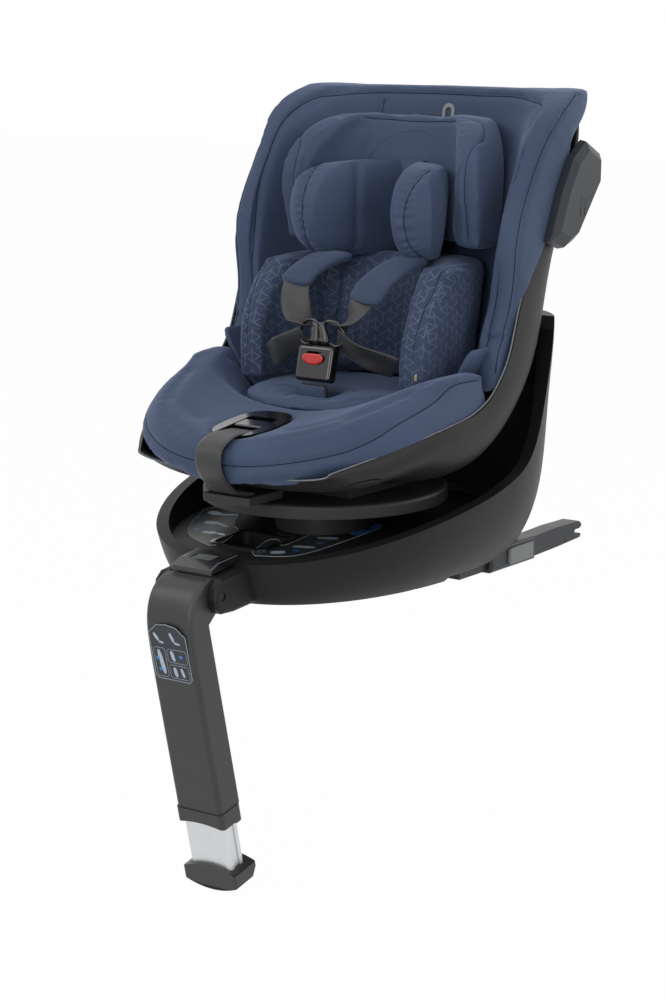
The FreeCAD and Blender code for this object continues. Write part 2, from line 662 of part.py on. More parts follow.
def make_adjuster():
    """Harness adjuster in the front of the pan: recessed housing, lever and pull strap."""
    housing = stacked([(-16, 0, 30, 42, 48), (0, 0, 36, 46, 54), (4, 0, 37, 47, 55)])
    well = soft_box(-21, 21, -60, 30, -10, 20, 6, (Z,))
    housing = housing.cut(well)
    pin_hole = cylinder(1.56, 60, Vector(-30, 14, -2), X)
    housing = housing.cut(pin_hole)
    lever = soft_box(-19.6, 19.6, -4, 19, -5.5, 3.5, 2, (X,)).cut(cylinder(1.56, 60, Vector(-30, 14, -2), X))
    pin = cylinder(1.5, 56, Vector(-28, 14, -2), X)
    for name, piece in (("adjuster_housing", housing), ("adjuster_lever", lever),
                        ("adjuster_pin", pin)):
        piece.Placement = ADJUSTER_PLACE.multiply(piece.Placement)
        save(name, piece)
    save("adjuster_strap", strip([(0, -163, 196.5), (0, -200, 196), (0, -223.5, 186), (0, -229, 170),
                                  (0, -221.5, 150), (0, -197, 128)], WEB, 2.0))


# ---------------------------------------------------------------- anchor arms

def make_arm(side, name):
    """One anchor arm: connector body with its jaw, hook and two release buttons."""
    x = side * ANCHOR_X
    low, high = ARM_Z - ARM_H / 2, ARM_Z + ARM_H / 2
    body = soft_box(x - BODY_W / 2, x + BODY_W / 2, 132, 236, low, high, 4, (Y, Z))
    rail = box(x - ARM_W / 2, x + ARM_W / 2, 70, 140, low + 3, high)
    neck = side_plate([(230, low + 1), (300, low + 3), (ARM_TIP_Y - 4, low + 6), (ARM_TIP_Y, low + 10),
                       (ARM_TIP_Y, high - 6), (ARM_TIP_Y - 6, high - 2), (300, high - 1),
                       (230, high - 3)], ARM_W / 2, x)
    arm = body.fuse([rail, neck])
    bar = ANCHOR_BAR / 2 + 0.1
    seat_y = ARM_TIP_Y - 14
    jaw = cylinder(bar, 60, Vector(x - 30, seat_y, ARM_Z), X)
    mouth = box(x - 30, x + 30, seat_y, 400, ARM_Z - bar, ARM_Z + bar)
    flare = side_plate([(ARM_TIP_Y - 5, ARM_Z - bar), (ARM_TIP_Y + 1, ARM_Z - bar - 3),
                        (ARM_TIP_Y + 1, ARM_Z + bar + 3), (ARM_TIP_Y - 5, ARM_Z + bar)], 30, x)
    hook_slot = box(x - 3.4, x + 3.4, 312, 359, low + 2, ARM_Z - bar + 0.5)
    arm = arm.cut([jaw, mouth, flare, hook_slot])
    pin = cylinder(1.5, ARM_W - 2, Vector(x - ARM_W / 2 + 1, 322, -3.5), X)
    arm = arm.cut(cylinder(1.56, ARM_W, Vector(x - ARM_W / 2, 322, -3.5), X))
    for s in (-1, 1):
        inner_face, outer_face = sorted((x + s * (BODY_W / 2 - 7.4), x + s * (BODY_W / 2 + 4)))
        arm = arm.cut(box(inner_face, outer_face, 170, 226, low + 5, high - 4))
    save("hook_pin_" + name, pin)

    hook = side_plate([(317, -6), (322, -8), (350, -6.5), (356, -4), (356, -0.6), (351, 0.8),
                       (344, -1), (322, 1), (318, -1)], 3.2, x)
    hook = hook.cut(cylinder(1.56, 20, Vector(x - 10, 322, -3.5), X))
    save("anchor_hook_" + name, hook)
    for angle in (3, 6, 9, 12.4):
        arm = arm.cut(turned(hook, Vector(x, 322, -3.5), X, angle))
    save("anchor_arm_" + name, arm)
    for s, place in ((side, "outer"), (-side, "inner")):
        edge = x + s * (BODY_W / 2 - 3.6)
        face = x + s * (BODY_W / 2 + 4.2)
        button = soft_box(min(edge, face), max(edge, face), 170.4, 225.6, low + 5.4, high - 4.4,
                          2.5, (X, Z))
        save("release_button_%s_%s" % (place, name), button)


# ---------------------------------------------------------------- seat details

def paddle_prism(grow=0.0):
    """The arch outline of a swivel release paddle, run across the whole seat."""
    arch = Part.Arc(Vector(-260, -166 - grow, 134), Vector(-260, -139, 153 + grow),
                    Vector(-260, -112 + grow, 134)).toShape()
    low = [Vector(-260, -112 + grow, 134), Vector(-260, -112 + grow, 122 - grow),
           Vector(-260, -166 - grow, 122 - grow), Vector(-260, -166 - grow, 134)]
    edges = [arch] + [Part.makeLine(a, b) for a, b in zip(low, low[1:])]
    return plate(Part.Wire(edges), Vector(520, 0, 0))


def make_seat():
    shell = shell_layer(0.0, SHELL_WALL)
    cutter = shell_layer(40.0, SHELL_WALL + 0.5, 0.6)
    save("seat_cushion", seat_cushion(cutter))
    save("back_cushion", back_cushion(cutter))
    proud = shell_layer(1.0, 1.0).common(paddle_prism())
    for x0, x1, name in ((150, 240, "left"), (-240, -150, "right")):
        paddle = proud.common(box(x0, x1, -200, -80, 100, 180))
        save("swivel_paddle_" + name, paddle)
    sides = Part.makeCompound([box(146.5, 240, -200, -80, 100, 180),
                               box(-240, -146.5, -200, -80, 100, 180)])
    shell = shell.cut(paddle_prism(0.6).common(sides))
    shell = shell.cut(swept_block(RUNNER_R, RUNNER_R + 30, CRADLE_HALF + 8, -24, 40))
    save("seat_shell", shell)
    save("headrest_pad", headrest_pad())
    save("head_pillow", head_pillow())
    save("body_insert", body_insert())
    save("seat_insert", seat_insert())

    for side, name in ((1, "left"), (-1, "right")):
        save("side_pod_" + name, side_pod(side))

    # headrest carrier behind the pad, with its pull ring
    lean = math.tan(math.radians(BACK_LEAN - 1))
    face = HEADREST_REAR + 1.0
    frame = side_plate([(face + (380 - RECLINE_Z) * lean, 380), (face + (545 - RECLINE_Z) * lean, 545),
                        (face + 3 + (545 - RECLINE_Z) * lean, 545),
                        (face + 3 + (380 - RECLINE_Z) * lean, 380)], 52)
    for row in range(3):
        for column in (-1, 1):
            hole = soft_box(column * 25 - 16, column * 25 + 16, 150, 300, 400 + row * 44,
                            428 + row * 44, 8, (Y,))
            frame = frame.cut(hole)
    frame = frame.cut(box(RING_X - 10, RING_X + 10, 150, 300, 529, 560))
    save("headrest_frame", frame)
    ring = soft_box(RING_X - 9, RING_X + 9, 0, 3.4, 0, 31, 8.9, (Y,))
    ring = ring.cut(soft_box(RING_X - 4.5, RING_X + 4.5, -1, 5, 5, 26, 4.4, (Y,)))
    ring.rotate(ORIGIN, X, -(BACK_LEAN - 1))
    ring.translate(Vector(0, face + 0.3 + (530 - RECLINE_Z) * lean, 530))
    save("headrest_pull_ring", ring)

    handle = soft_box(-34, 34, -198, -128, 114.5, 124, 4, (Z,))
    handle = handle.cut(soft_box(-22, 22, -186, -166, 100, 140, 7, (Z,)))
    save("recline_handle", handle)


def side_pod(side):
    """Side impact pod: a faceted shape that stands out from the wing."""
    outline = [(150, 404), (182, 393), (204, 401), (265, 474), (266, 505), (232, 522), (202, 502),
               (176, 462)]
    centre_y, centre_z = 208, 460
    rings = []
    for x, scale in ((215.0, 1.0), (224.5, 0.97), (233, 0.80)):
        points = [(side * x, centre_y + (y - centre_y) * scale, centre_z + (z - centre_z) * scale)
                  for y, z in outline]
        rings.append(polygon(points))
    pod = Part.makeLoft(rings, True, True)
    return rounded(pod, 2.0, lambda e: abs(e.CenterOfMass.x) > 220)


def main():
    make_base()
    make_leg()
    make_turntable()
    make_seat()
    make_harness()
    make_adjuster()
    for side, name in ((1, "left"), (-1, "right")):
        make_arm(side, name)


main()
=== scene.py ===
import math

import bmesh
import bpy
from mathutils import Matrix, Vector, noise
from mathutils.bvhtree import BVHTree
from mathutils.kdtree import KDTree


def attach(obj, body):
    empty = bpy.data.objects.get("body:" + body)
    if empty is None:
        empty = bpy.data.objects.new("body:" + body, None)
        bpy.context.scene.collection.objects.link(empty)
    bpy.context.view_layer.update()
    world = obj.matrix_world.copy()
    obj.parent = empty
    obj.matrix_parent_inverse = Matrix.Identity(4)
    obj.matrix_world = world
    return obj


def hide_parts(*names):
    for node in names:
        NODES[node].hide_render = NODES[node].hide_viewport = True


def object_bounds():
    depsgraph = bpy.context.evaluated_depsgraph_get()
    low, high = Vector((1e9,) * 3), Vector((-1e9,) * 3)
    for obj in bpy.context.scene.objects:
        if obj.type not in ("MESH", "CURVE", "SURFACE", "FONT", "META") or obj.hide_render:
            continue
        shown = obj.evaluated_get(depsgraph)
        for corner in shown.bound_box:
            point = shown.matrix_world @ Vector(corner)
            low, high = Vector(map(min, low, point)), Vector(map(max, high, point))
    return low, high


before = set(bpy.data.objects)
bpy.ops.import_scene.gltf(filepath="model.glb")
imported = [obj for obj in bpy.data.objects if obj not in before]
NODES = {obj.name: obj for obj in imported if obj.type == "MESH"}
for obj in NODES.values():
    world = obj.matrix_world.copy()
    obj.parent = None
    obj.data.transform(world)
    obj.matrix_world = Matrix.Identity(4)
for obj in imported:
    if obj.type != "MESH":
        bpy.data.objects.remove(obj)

CAD_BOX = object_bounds()
MM = 0.001


# ---------------------------------------------------------------- shader maths

class Value:
    """A shader socket that takes part in Python expressions."""

    def __init__(self, mat, socket):
        self.mat, self.socket = mat, socket

    def _with(self, operation, *others, **extra):
        return self.mat.math(operation, self, *others, **extra)

    def __add__(self, other):
        return self._with("ADD", other)

    def __sub__(self, other):
        return self._with("SUBTRACT", other)

    def __rsub__(self, other):
        return self.mat.math("SUBTRACT", other, self)

    def __mul__(self, other):
        return self._with("MULTIPLY", other)

    def __truediv__(self, other):
        return self._with("DIVIDE", other)

    def __pow__(self, other):
        return self._with("POWER", other)

    __radd__, __rmul__ = __add__, __mul__

    def above(self, other):
        return self._with("GREATER_THAN", other)

    def abs(self):
        return self._with("ABSOLUTE")

    def sine(self):
        return self._with("SINE")

    def fract(self):
        return self._with("FRACT")

    def most(self, other):
        return self._with("MAXIMUM", other)

    def step(self, low, high):
        """A smooth step from 0 at low to 1 at high."""
        return self.mat.node("ShaderNodeMapRange", {"interpolation_type": "SMOOTHSTEP"},
                             {"Value": self, "From Min": low, "From Max": high})["Result"]


class Finish:
    """One procedural material and the few ways its nodes are made."""

    def __init__(self, name):
        self.material = bpy.data.materials.new(name)
        self.material.use_nodes = True
        self.tree = self.material.node_tree
        self.shader = self.tree.nodes["Principled BSDF"]
        coords = self.node("ShaderNodeTexCoord")
        self.object, self.uv = coords["Object"], coords["UV"]

    def node(self, kind, settings=None, inputs=None):
        """Adds a node: its settings first, then the values or links of its sockets."""
        made = self.tree.nodes.new(kind)
        for key, value in (settings or {}).items():
            if key == "stops":
                ramp = made.color_ramp
                while len(ramp.elements) < len(value):
                    ramp.elements.new(0.5)
                for stop, (place, colour) in zip(ramp.elements, value):
                    stop.position, stop.color = place, colour
            else:
                setattr(made, key, value)
        for key, value in (inputs or {}).items():
            self.feed(made.inputs[key], value)
        return {s.name: Value(self, s) for s in made.outputs}

    def feed(self, socket, value):
        if isinstance(value, Value):
            self.tree.links.new(value.socket, socket)
        elif hasattr(socket.default_value, "__len__") and not hasattr(value, "__len__"):
            socket.default_value = [value] * len(socket.default_value)
        elif hasattr(value, "__len__") and len(socket.default_value) == 4 and len(value) == 3:
            socket.default_value = (*value, 1.0)
        else:
            socket.default_value = value

    def math(self, operation, *values):
        return self.node("ShaderNodeMath", {"operation": operation},
                         dict(enumerate(values)))["Value"]

    def axes(self, source=None):
        parts = self.node("ShaderNodeSeparateXYZ", None, {"Vector": source or self.object})
        return parts["X"], parts["Y"], parts["Z"]

    def noise(self, scale, detail=3.0, source=None, rough=0.5):
        return self.node("ShaderNodeTexNoise", None,
                         {"Vector": source or self.object, "Scale": scale, "Detail": detail,
                          "Roughness": rough})["Fac"]

    def blend(self, mask, low, high):
        """Mixes two colours by a mask from 0 to 1."""
        self.node("ShaderNodeMix", {"data_type": "RGBA"}, {"Factor": mask})
        mix = self.tree.nodes[-1]
        self.feed(mix.inputs[6], low)
        self.feed(mix.inputs[7], high)
        return Value(self, mix.outputs[2])

    def bump(self, height, strength, distance, under=None):
        inputs = {"Height": height, "Strength": strength, "Distance": distance}
        if under:
            inputs["Normal"] = under
        return self.node("ShaderNodeBump", None, inputs)["Normal"]

    def set(self, **inputs):
        for key, value in inputs.items():
            self.feed(self.shader.inputs[key.replace("_", " ")], value)
        return self.material


# ---------------------------------------------------------------- finishes

NAVY = (0.046, 0.069, 0.128)
NAVY_DEEP = (0.030, 0.046, 0.090)
NAVY_LIT = (0.062, 0.090, 0.158)


def knit_fabric(name, low=NAVY_DEEP, mid=NAVY, high=NAVY_LIT, pitch=0.00075):
    """Smooth jersey over foam: fine ribs, a soft sheen and slow changes of tone."""
    f = Finish(name)
    x, y, z = f.axes()
    ribs = ((x + y * 0.35) * (2 * math.pi / pitch)).sine() * (z * (2 * math.pi / pitch)).sine()
    tone = f.noise(9.0, 3.0)
    fleck = f.noise(1400.0, 1.0)
    colour = f.blend(tone.step(0.30, 0.70), mid, high)
    colour = f.blend((fleck.step(0.35, 0.75)) * 0.35, colour, low)
    fine = f.bump(ribs, 0.10, 0.0002)
    soft = f.bump(f.noise(55.0, 4.0), 0.10, 0.002, fine)
    f.set(Base_Color=colour, Roughness=tone.step(0.2, 0.8) * 0.10 + 0.62, Normal=soft)
    return f.set(Sheen_Weight=0.30, Sheen_Roughness=0.45, Sheen_Tint=(0.55, 0.68, 1.0),
                 Specular_IOR_Level=0.28)


def line_pattern_fabric(name, pitch=0.021, line=0.0006):
    """Knit with a fine repeating pattern of three-armed outlines on a triangular grid."""
    f = Finish(name)
    u, v, _ = f.axes(f.uv)
    masks = []
    for turn in (0, 60, 120):
        a = math.radians(turn)
        across = u * math.cos(a) + v * math.sin(a)
        along = v * math.cos(a) - u * math.sin(a)
        # each family of lines is broken into dashes that meet the other two families
        for shift in (0.0, 0.5):
            lane = (across / pitch + shift).fract()
            near = ((lane - 0.5).abs() * pitch - line / 2).step(line * 0.9, 0.0)
            row = ((across / pitch + shift) * 0.5).fract().above(0.5)
            dash = (along / (pitch * 1.1547) + row * 0.5 + shift * 0.66).fract()
            masks.append(near * dash.step(0.30, 0.34) * dash.step(0.98, 0.94))
    lines = masks[0]
    for mask in masks[1:]:
        lines = lines.most(mask)
    tone = f.noise(10.0, 3.0)
    base = f.blend(tone.step(0.3, 0.7), (0.034, 0.050, 0.094), (0.046, 0.066, 0.118))
    colour = f.blend(lines * 0.62, base, (0.125, 0.165, 0.255))
    f.set(Base_Color=colour, Roughness=lines * -0.15 + 0.72,
          Normal=f.bump(lines, 0.30, 0.0004, f.bump(f.noise(900.0, 2.0), 0.10, 0.0003)))
    return f.set(Sheen_Weight=0.22, Sheen_Roughness=0.5, Sheen_Tint=(0.55, 0.68, 1.0),
                 Specular_IOR_Level=0.25)


def thread(name, colour):
    """Dull sewing thread or printed cloth in one colour."""
    f = Finish(name)
    twist = (f.noise(600.0, 2.0) - 0.5)
    f.set(Base_Color=f.blend(twist.step(-0.2, 0.3), colour, [c * 1.5 for c in colour]),
          Normal=f.bump(twist, 0.3, 0.0003))
    return f.set(Roughness=0.85, Specular_IOR_Level=0.2)


def webbing(name, tone=0.012):
    """Woven harness tape: chevrons across the width, a glossier face and bright edges."""
    f = Finish(name)
    u, v, _ = f.axes(f.uv)
    chevron = ((u.abs() * 0.9 + v) * (2 * math.pi / 0.0021)).sine()
    grain = (u * (2 * math.pi / 0.0011)).sine() * 0.5
    weave = chevron * 0.6 + grain
    worn = f.noise(40.0, 3.0).step(0.35, 0.7)
    colour = f.blend(weave.step(-0.8, 0.9), (tone * 0.6, tone * 0.6, tone * 0.65),
                     (tone * 2.2, tone * 2.2, tone * 2.4))
    f.set(Base_Color=colour, Roughness=worn * 0.12 + 0.36, Normal=f.bump(weave, 0.35, 0.0003))
    return f.set(Sheen_Weight=0.15, Sheen_Roughness=0.4, Specular_IOR_Level=0.5)


def moulded(name, colour, rough=0.48, grain=0.22, size=900.0, level=0.45, wear=0.25):
    """Moulded plastic with a spark-eroded grain and slightly polished high spots."""
    f = Finish(name)
    spots = f.noise(size, 2.0)
    cloud = f.noise(7.0, 4.0)
    light = [min(1.0, c * 1.35 + 0.003) for c in colour]
    body = f.blend(cloud.step(0.3, 0.75) * wear, colour, light)
    f.set(Base_Color=body, Roughness=cloud.step(0.25, 0.8) * 0.10 + (rough - 0.05),
          Normal=f.bump(spots, grain, 0.0004))
    return f.set(Specular_IOR_Level=level)


def gloss(name, colour, rough=0.12):
    """Polished plastic with faint handling marks."""
    f = Finish(name)
    smear = f.noise(24.0, 5.0)
    f.set(Base_Color=f.blend(smear.step(0.4, 0.8) * 0.3, colour, [c * 1.4 + 0.002 for c in colour]),
          Roughness=smear.step(0.3, 0.9) * 0.12 + rough)
    return f.set(Coat_Roughness=0.05, Coat_Weight=0.4)


def bare_metal(name, colour, rough=0.30, lines=0.05, axis="Z"):
    """Metal with fine drawn lines along one direction."""
    f = Finish(name)
    stretch = {"X": (4, 900, 900), "Y": (900, 4, 900), "Z": (900, 900, 4)}[axis]
    placed = f.node("ShaderNodeMapping", None, {"Vector": f.object, "Scale": stretch})["Vector"]
    drawn = f.noise(1.0, 3.0, placed)
    cloud = f.noise(12.0, 3.0)
    f.set(Base_Color=f.blend(drawn.step(0.3, 0.7) * 0.4, colour, [c * 0.82 for c in colour]),
          Roughness=cloud.step(0.3, 0.8) * 0.08 + (drawn * 0.08 + (rough - 0.08)),
          Normal=f.bump(drawn, lines, 0.0002))
    return f.set(Metallic=1.0)


def display_glass(name):
    """A grey-green display behind a clear pane, with a faint segment field."""
    f = Finish(name)
    field = f.noise(60.0, 2.0)
    f.set(Base_Color=f.blend(field.step(0.3, 0.7), (0.155, 0.175, 0.145), (0.20, 0.22, 0.185)),
          Roughness=field * 0.06 + 0.16)
    return f.set(Coat_Weight=0.8, Coat_Roughness=0.03)


def build_finishes():
    """Every finish of the seat, by a short name."""
    return {
        "navy": knit_fabric("navy_knit"),
        "navy_dark": knit_fabric("navy_knit_shaded", (0.022, 0.034, 0.066), (0.034, 0.051, 0.096),
                                 (0.046, 0.068, 0.122)),
        "pattern": line_pattern_fabric("patterned_knit"),
        "seam": thread("seam_thread", (0.008, 0.011, 0.022)),
        "arc": thread("printed_arc", (0.085, 0.110, 0.165)),
        "piping": thread("light_edging", (0.17, 0.185, 0.20)),
        "webbing": webbing("harness_webbing", 0.017),
        "webbing_pull": webbing("pull_webbing", 0.016),
        "shell": moulded("bucket_plastic", (0.020, 0.0193, 0.0187), 0.54, 0.20, level=0.24),
        "base": moulded("base_plastic", (0.0085, 0.0084, 0.0086), 0.48, 0.20, level=0.22),
        "leg": moulded("leg_plastic", (0.027, 0.0272, 0.0282), 0.40, 0.14, level=0.5),
        "inner": moulded("inner_plastic", (0.010, 0.010, 0.0105), 0.55, 0.25),
        "pod": moulded("pod_plastic", (0.017, 0.020, 0.027), 0.46, 0.24),
        "grey": moulded("grey_plastic", (0.205, 0.215, 0.215), 0.42, 0.12, wear=0.15),
        "arm": moulded("arm_coating", (0.020, 0.022, 0.027), 0.38, 0.10, level=0.35),
        "gloss": gloss("gloss_black", (0.006, 0.006, 0.0065)),
        "red": gloss("release_red", (0.62, 0.020, 0.016), 0.22),
        "alu": bare_metal("anodised_aluminium", (0.66, 0.67, 0.68), 0.34),
        "steel": bare_metal("plated_steel", (0.56, 0.56, 0.57), 0.26, axis="X"),
        "display": display_glass("display_pane"),
        "rubber": moulded("foot_rubber", (0.012, 0.012, 0.012), 0.75, 0.5, 500.0, 0.3),
        "slate": moulded("plate_slate", (0.020, 0.024, 0.030), 0.34, 0.06, wear=0.1),
        "blue": gloss("plate_blue", (0.010, 0.20, 0.58), 0.30),
        "pale": gloss("plate_pale", (0.42, 0.50, 0.60), 0.35),
        "line": gloss("plate_line", (0.30, 0.34, 0.38), 0.35),
        "tag": thread("tag_cream", (0.62, 0.55, 0.30)),
    }


FINISH = build_finishes()

# finish of each carried-over frame node, by the start of its name
NODE_FINISH = [
    ("base_grip_pads", "rubber"), ("base_", "base"), ("deck_pocket_frame", "gloss"),
    ("swivel_bearing", "inner"), ("turntable", "inner"), ("recline_cradle", "inner"),
    ("recline_rails", "steel"), ("recline_handle", "inner"), ("swivel_retainer", "steel"),
    ("swivel_paddle", "shell"), ("seat_shell", "shell"), ("side_pod", "pod"),
    ("leg_hinge_pin", "inner"), ("leg_joint_lid", "gloss"), ("leg_height_button", "gloss"),
    ("leg_tube", "alu"), ("leg_collar", "leg"), ("leg_", "leg"), ("foot_sole", "rubber"),
    ("foot_cap", "leg"), ("display_window", "display"), ("buckle_body", "gloss"),
    ("buckle_button", "red"), ("harness_tongue", "gloss"), ("adjuster_housing", "gloss"),
    ("adjuster_lever", "gloss"), ("adjuster", "steel"), ("headrest_frame", "shell"),
    ("headrest_pull_ring", "grey"), ("anchor_arm", "arm"), ("anchor_hook", "steel"),
    ("hook_pin", "steel"),
    ("release_button", "grey"),
]


def dress_nodes():
    """Gives every node that came with the frame its finish."""
    for name, node in NODES.items():
        key = next((k for start, k in NODE_FINISH if name.startswith(start)), "navy")
        node.data.materials.clear()
        node.data.materials.append(FINISH[key])
        for face in node.data.polygons:
            face.material_index = 0


dress_nodes()


# ---------------------------------------------------------------- mesh helpers

def add_mesh(name, verts, faces, finish, smooth=True):
    """A piece from points and faces, welded, turned outwards and given its finish."""
    mesh = bpy.data.meshes.new(name)
    mesh.from_pydata([tuple(v) for v in verts], [], faces)
    mesh.materials.append(FINISH[finish])
    piece = bpy.data.objects.new(name, mesh)
    bpy.context.collection.objects.link(piece)
    mend(piece)
    for face in mesh.polygons:
        face.use_smooth = smooth
    return piece


def mend(piece, merge=1e-6):
    """Welds doubles and turns the faces outwards."""
    work = bmesh.new()
    work.from_mesh(piece.data)
    bmesh.ops.remove_doubles(work, verts=work.verts, dist=merge)
    bmesh.ops.recalc_face_normals(work, faces=work.faces)
    work.to_mesh(piece.data)
    work.free()


def finish_piece(piece, body, slot, *stands_for):
    """Attaches a piece to the body it rides on and hides the nodes it stands for. The slot is not used."""
    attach(piece, body)
    if stands_for:
        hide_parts(*stands_for)
    return piece


def signed_power(value, power):
    """A power that keeps the sign, for rounded-box outlines."""
    return math.copysign(abs(value) ** power, value)


def mix(a, b, t):
    """The value a share t of the way from a to b."""
    return a + (b - a) * t


def ease(low, high, value):
    """A smooth step from 0 at low to 1 at high."""
    t = min(1.0, max(0.0, (value - low) / (high - low)))
    return t * t * (3 - 2 * t)


def bell(distance, width):
    """A soft groove or ridge profile, 1 in the middle and 0 past three widths."""
    return math.exp(-(distance / width) ** 2)


def curve_through(points, count, closed=False):
    """Points evenly spaced along a smooth curve through the given points."""
    points = [Vector(p) for p in points]
    spans = len(points) if closed else len(points) - 1
    fine, per_span = [], 24
    for i in range(spans):
        if closed:
            a, b, c, d = (points[(i + k) % len(points)] for k in (-1, 0, 1, 2))
        else:
            b, c = points[i], points[i + 1]
            a = points[i - 1] if i else b * 2 - c
            d = points[i + 2] if i + 2 < len(points) else c * 2 - b
        for k in range(per_span):
            t = k / per_span
            fine.append(0.5 * (2 * b + (c - a) * t + (2 * a - 5 * b + 4 * c - d) * t * t
                               + (3 * b - a - 3 * c + d) * t ** 3))
    fine.append(points[0].copy() if closed else points[-1].copy())
    lengths = [0.0]
    for p, q in zip(fine, fine[1:]):
        lengths.append(lengths[-1] + (q - p).length)
    out, k = [], 0
    for i in range(count):
        goal = lengths[-1] * i / (count if closed else count - 1)
        while k < len(fine) - 2 and lengths[k + 1] < goal:
            k += 1
        span = lengths[k + 1] - lengths[k]
        out.append(fine[k].lerp(fine[k + 1], 0.0 if span == 0 else (goal - lengths[k]) / span))
    return out


def row_mixer(rows):
    """Smooth values between rows of numbers that are keyed by their first number."""
    keys = [r[0] for r in rows]

    def at(key):
        key = min(max(key, keys[0]), keys[-1])
        i = max(k for k in range(len(rows) - 1) if rows[k][0] <= key or k == 0)
        a, b = rows[i], rows[i + 1]
        before = rows[i - 1] if i else a
        after = rows[i + 2] if i + 2 < len(rows) else b
        t = (key - a[0]) / (b[0] - a[0])
        out = []
        for k in range(1, len(a)):
            m0 = (b[k] - before[k]) / max(b[0] - before[0], 1e-9) * (b[0] - a[0])
            m1 = (after[k] - a[k]) / max(after[0] - a[0], 1e-9) * (b[0] - a[0])
            h = (2 * t ** 3 - 3 * t * t + 1) * a[k] + (t ** 3 - 2 * t * t + t) * m0
            out.append(h + (-2 * t ** 3 + 3 * t * t) * b[k] + (t ** 3 - t * t) * m1)
        return out
    return at


def skin(name, rings, finish, closed=True, caps=True):
    """A mesh skinned over rings of points, each ring a closed or an open line."""
    count = len(rings[0])
    verts = [p for ring in rings for p in ring]
    faces = []
    for i in range(len(rings) - 1):
        for j in range(count if closed else count - 1):
            k = (j + 1) % count
            faces.append((i * count + j, i * count + k, (i + 1) * count + k, (i + 1) * count + j))
    if caps:
        for start, order in ((0, -1), ((len(rings) - 1) * count, 1)):
            centre = len(verts)
            ring = rings[0] if start == 0 else rings[-1]
            verts.append(sum((Vector(p) for p in ring), Vector()) / count)
            for j in range(count if closed else count - 1):
                k = (j + 1) % count
                faces.append((start + j, start + k, centre)[::order])
    return add_mesh(name, verts, faces, finish)


def tube_along(name, points, radius, finish, sides=8, closed=False):
    """A round cord-like bead along points: piping, seam thread and small rolled edges."""
    points = [Vector(p) for p in points]
    rings, count = [], len(points)
    up = Vector((0.13, 0.21, 0.97))
    for i, p in enumerate(points):
        a = points[i - 1] if i or closed else p
        b = points[(i + 1) % count] if i + 1 < count or closed else p
        run = (b - a).normalized()
        side = run.cross(up)
        side = (side if side.length > 0.05 else run.cross(Vector((1, 0, 0)))).normalized()
        other = run.cross(side)
        rings.append([p + side * (radius * math.cos(2 * math.pi * k / sides))
                      + other * (radius * math.sin(2 * math.pi * k / sides)) for k in range(sides)])
    if closed:
        rings.append(rings[0])
    return skin(name, rings, finish, caps=not closed)


def join(name, pieces):
    """Joins pieces into one object that keeps their materials."""
    base = pieces[0]
    with bpy.context.temp_override(active_object=base, object=base, selected_objects=pieces,
                                   selected_editable_objects=pieces):
        bpy.ops.object.join()
    base.name = name
    return base


# ---------------------------------------------------------------- sewing helpers

def surface_of(piece):
    """A search tree over the faces of a piece."""
    mesh = piece.data
    return BVHTree.FromPolygons([v.co for v in mesh.vertices], [tuple(p.vertices) for p in mesh.polygons])


def press_line(piece, path, width, depth):
    """Presses a soft groove into a padded piece along a path."""
    tree = KDTree(len(path))
    for i, p in enumerate(path):
        tree.insert(p, i)
    tree.balance()
    mesh = piece.data
    moves = []
    for v in mesh.vertices:
        distance = tree.find(v.co)[2]
        if distance < width * 3:
            moves.append((v.index, v.normal * (-depth * bell(distance, width))))
    for index, move in moves:
        mesh.vertices[index].co += move
    mesh.update()


def laid_on(piece, path, lift=0.0):
    """Moves a path onto a piece's surface."""
    tree = surface_of(piece)
    out = list(path)
    closed = (Vector(path[0]) - Vector(path[-1])).length < 0.003 and len(path) > 20
    for _ in range(4):
        out = [tree.find_nearest(p)[0] for p in out]
        for _ in range(5):
            ends = (out[-1], out[0]) if closed else (out[0], out[-1])
            line = [ends[0]] + out + [ends[1]]
            out = [(a + b * 2 + c) / 4 for a, b, c in zip(line, line[1:], line[2:])]
    result = []
    for p in out:
        place, normal, _, _ = tree.find_nearest(p)
        result.append(p.lerp(place, 0.5) + normal * lift)
    return result


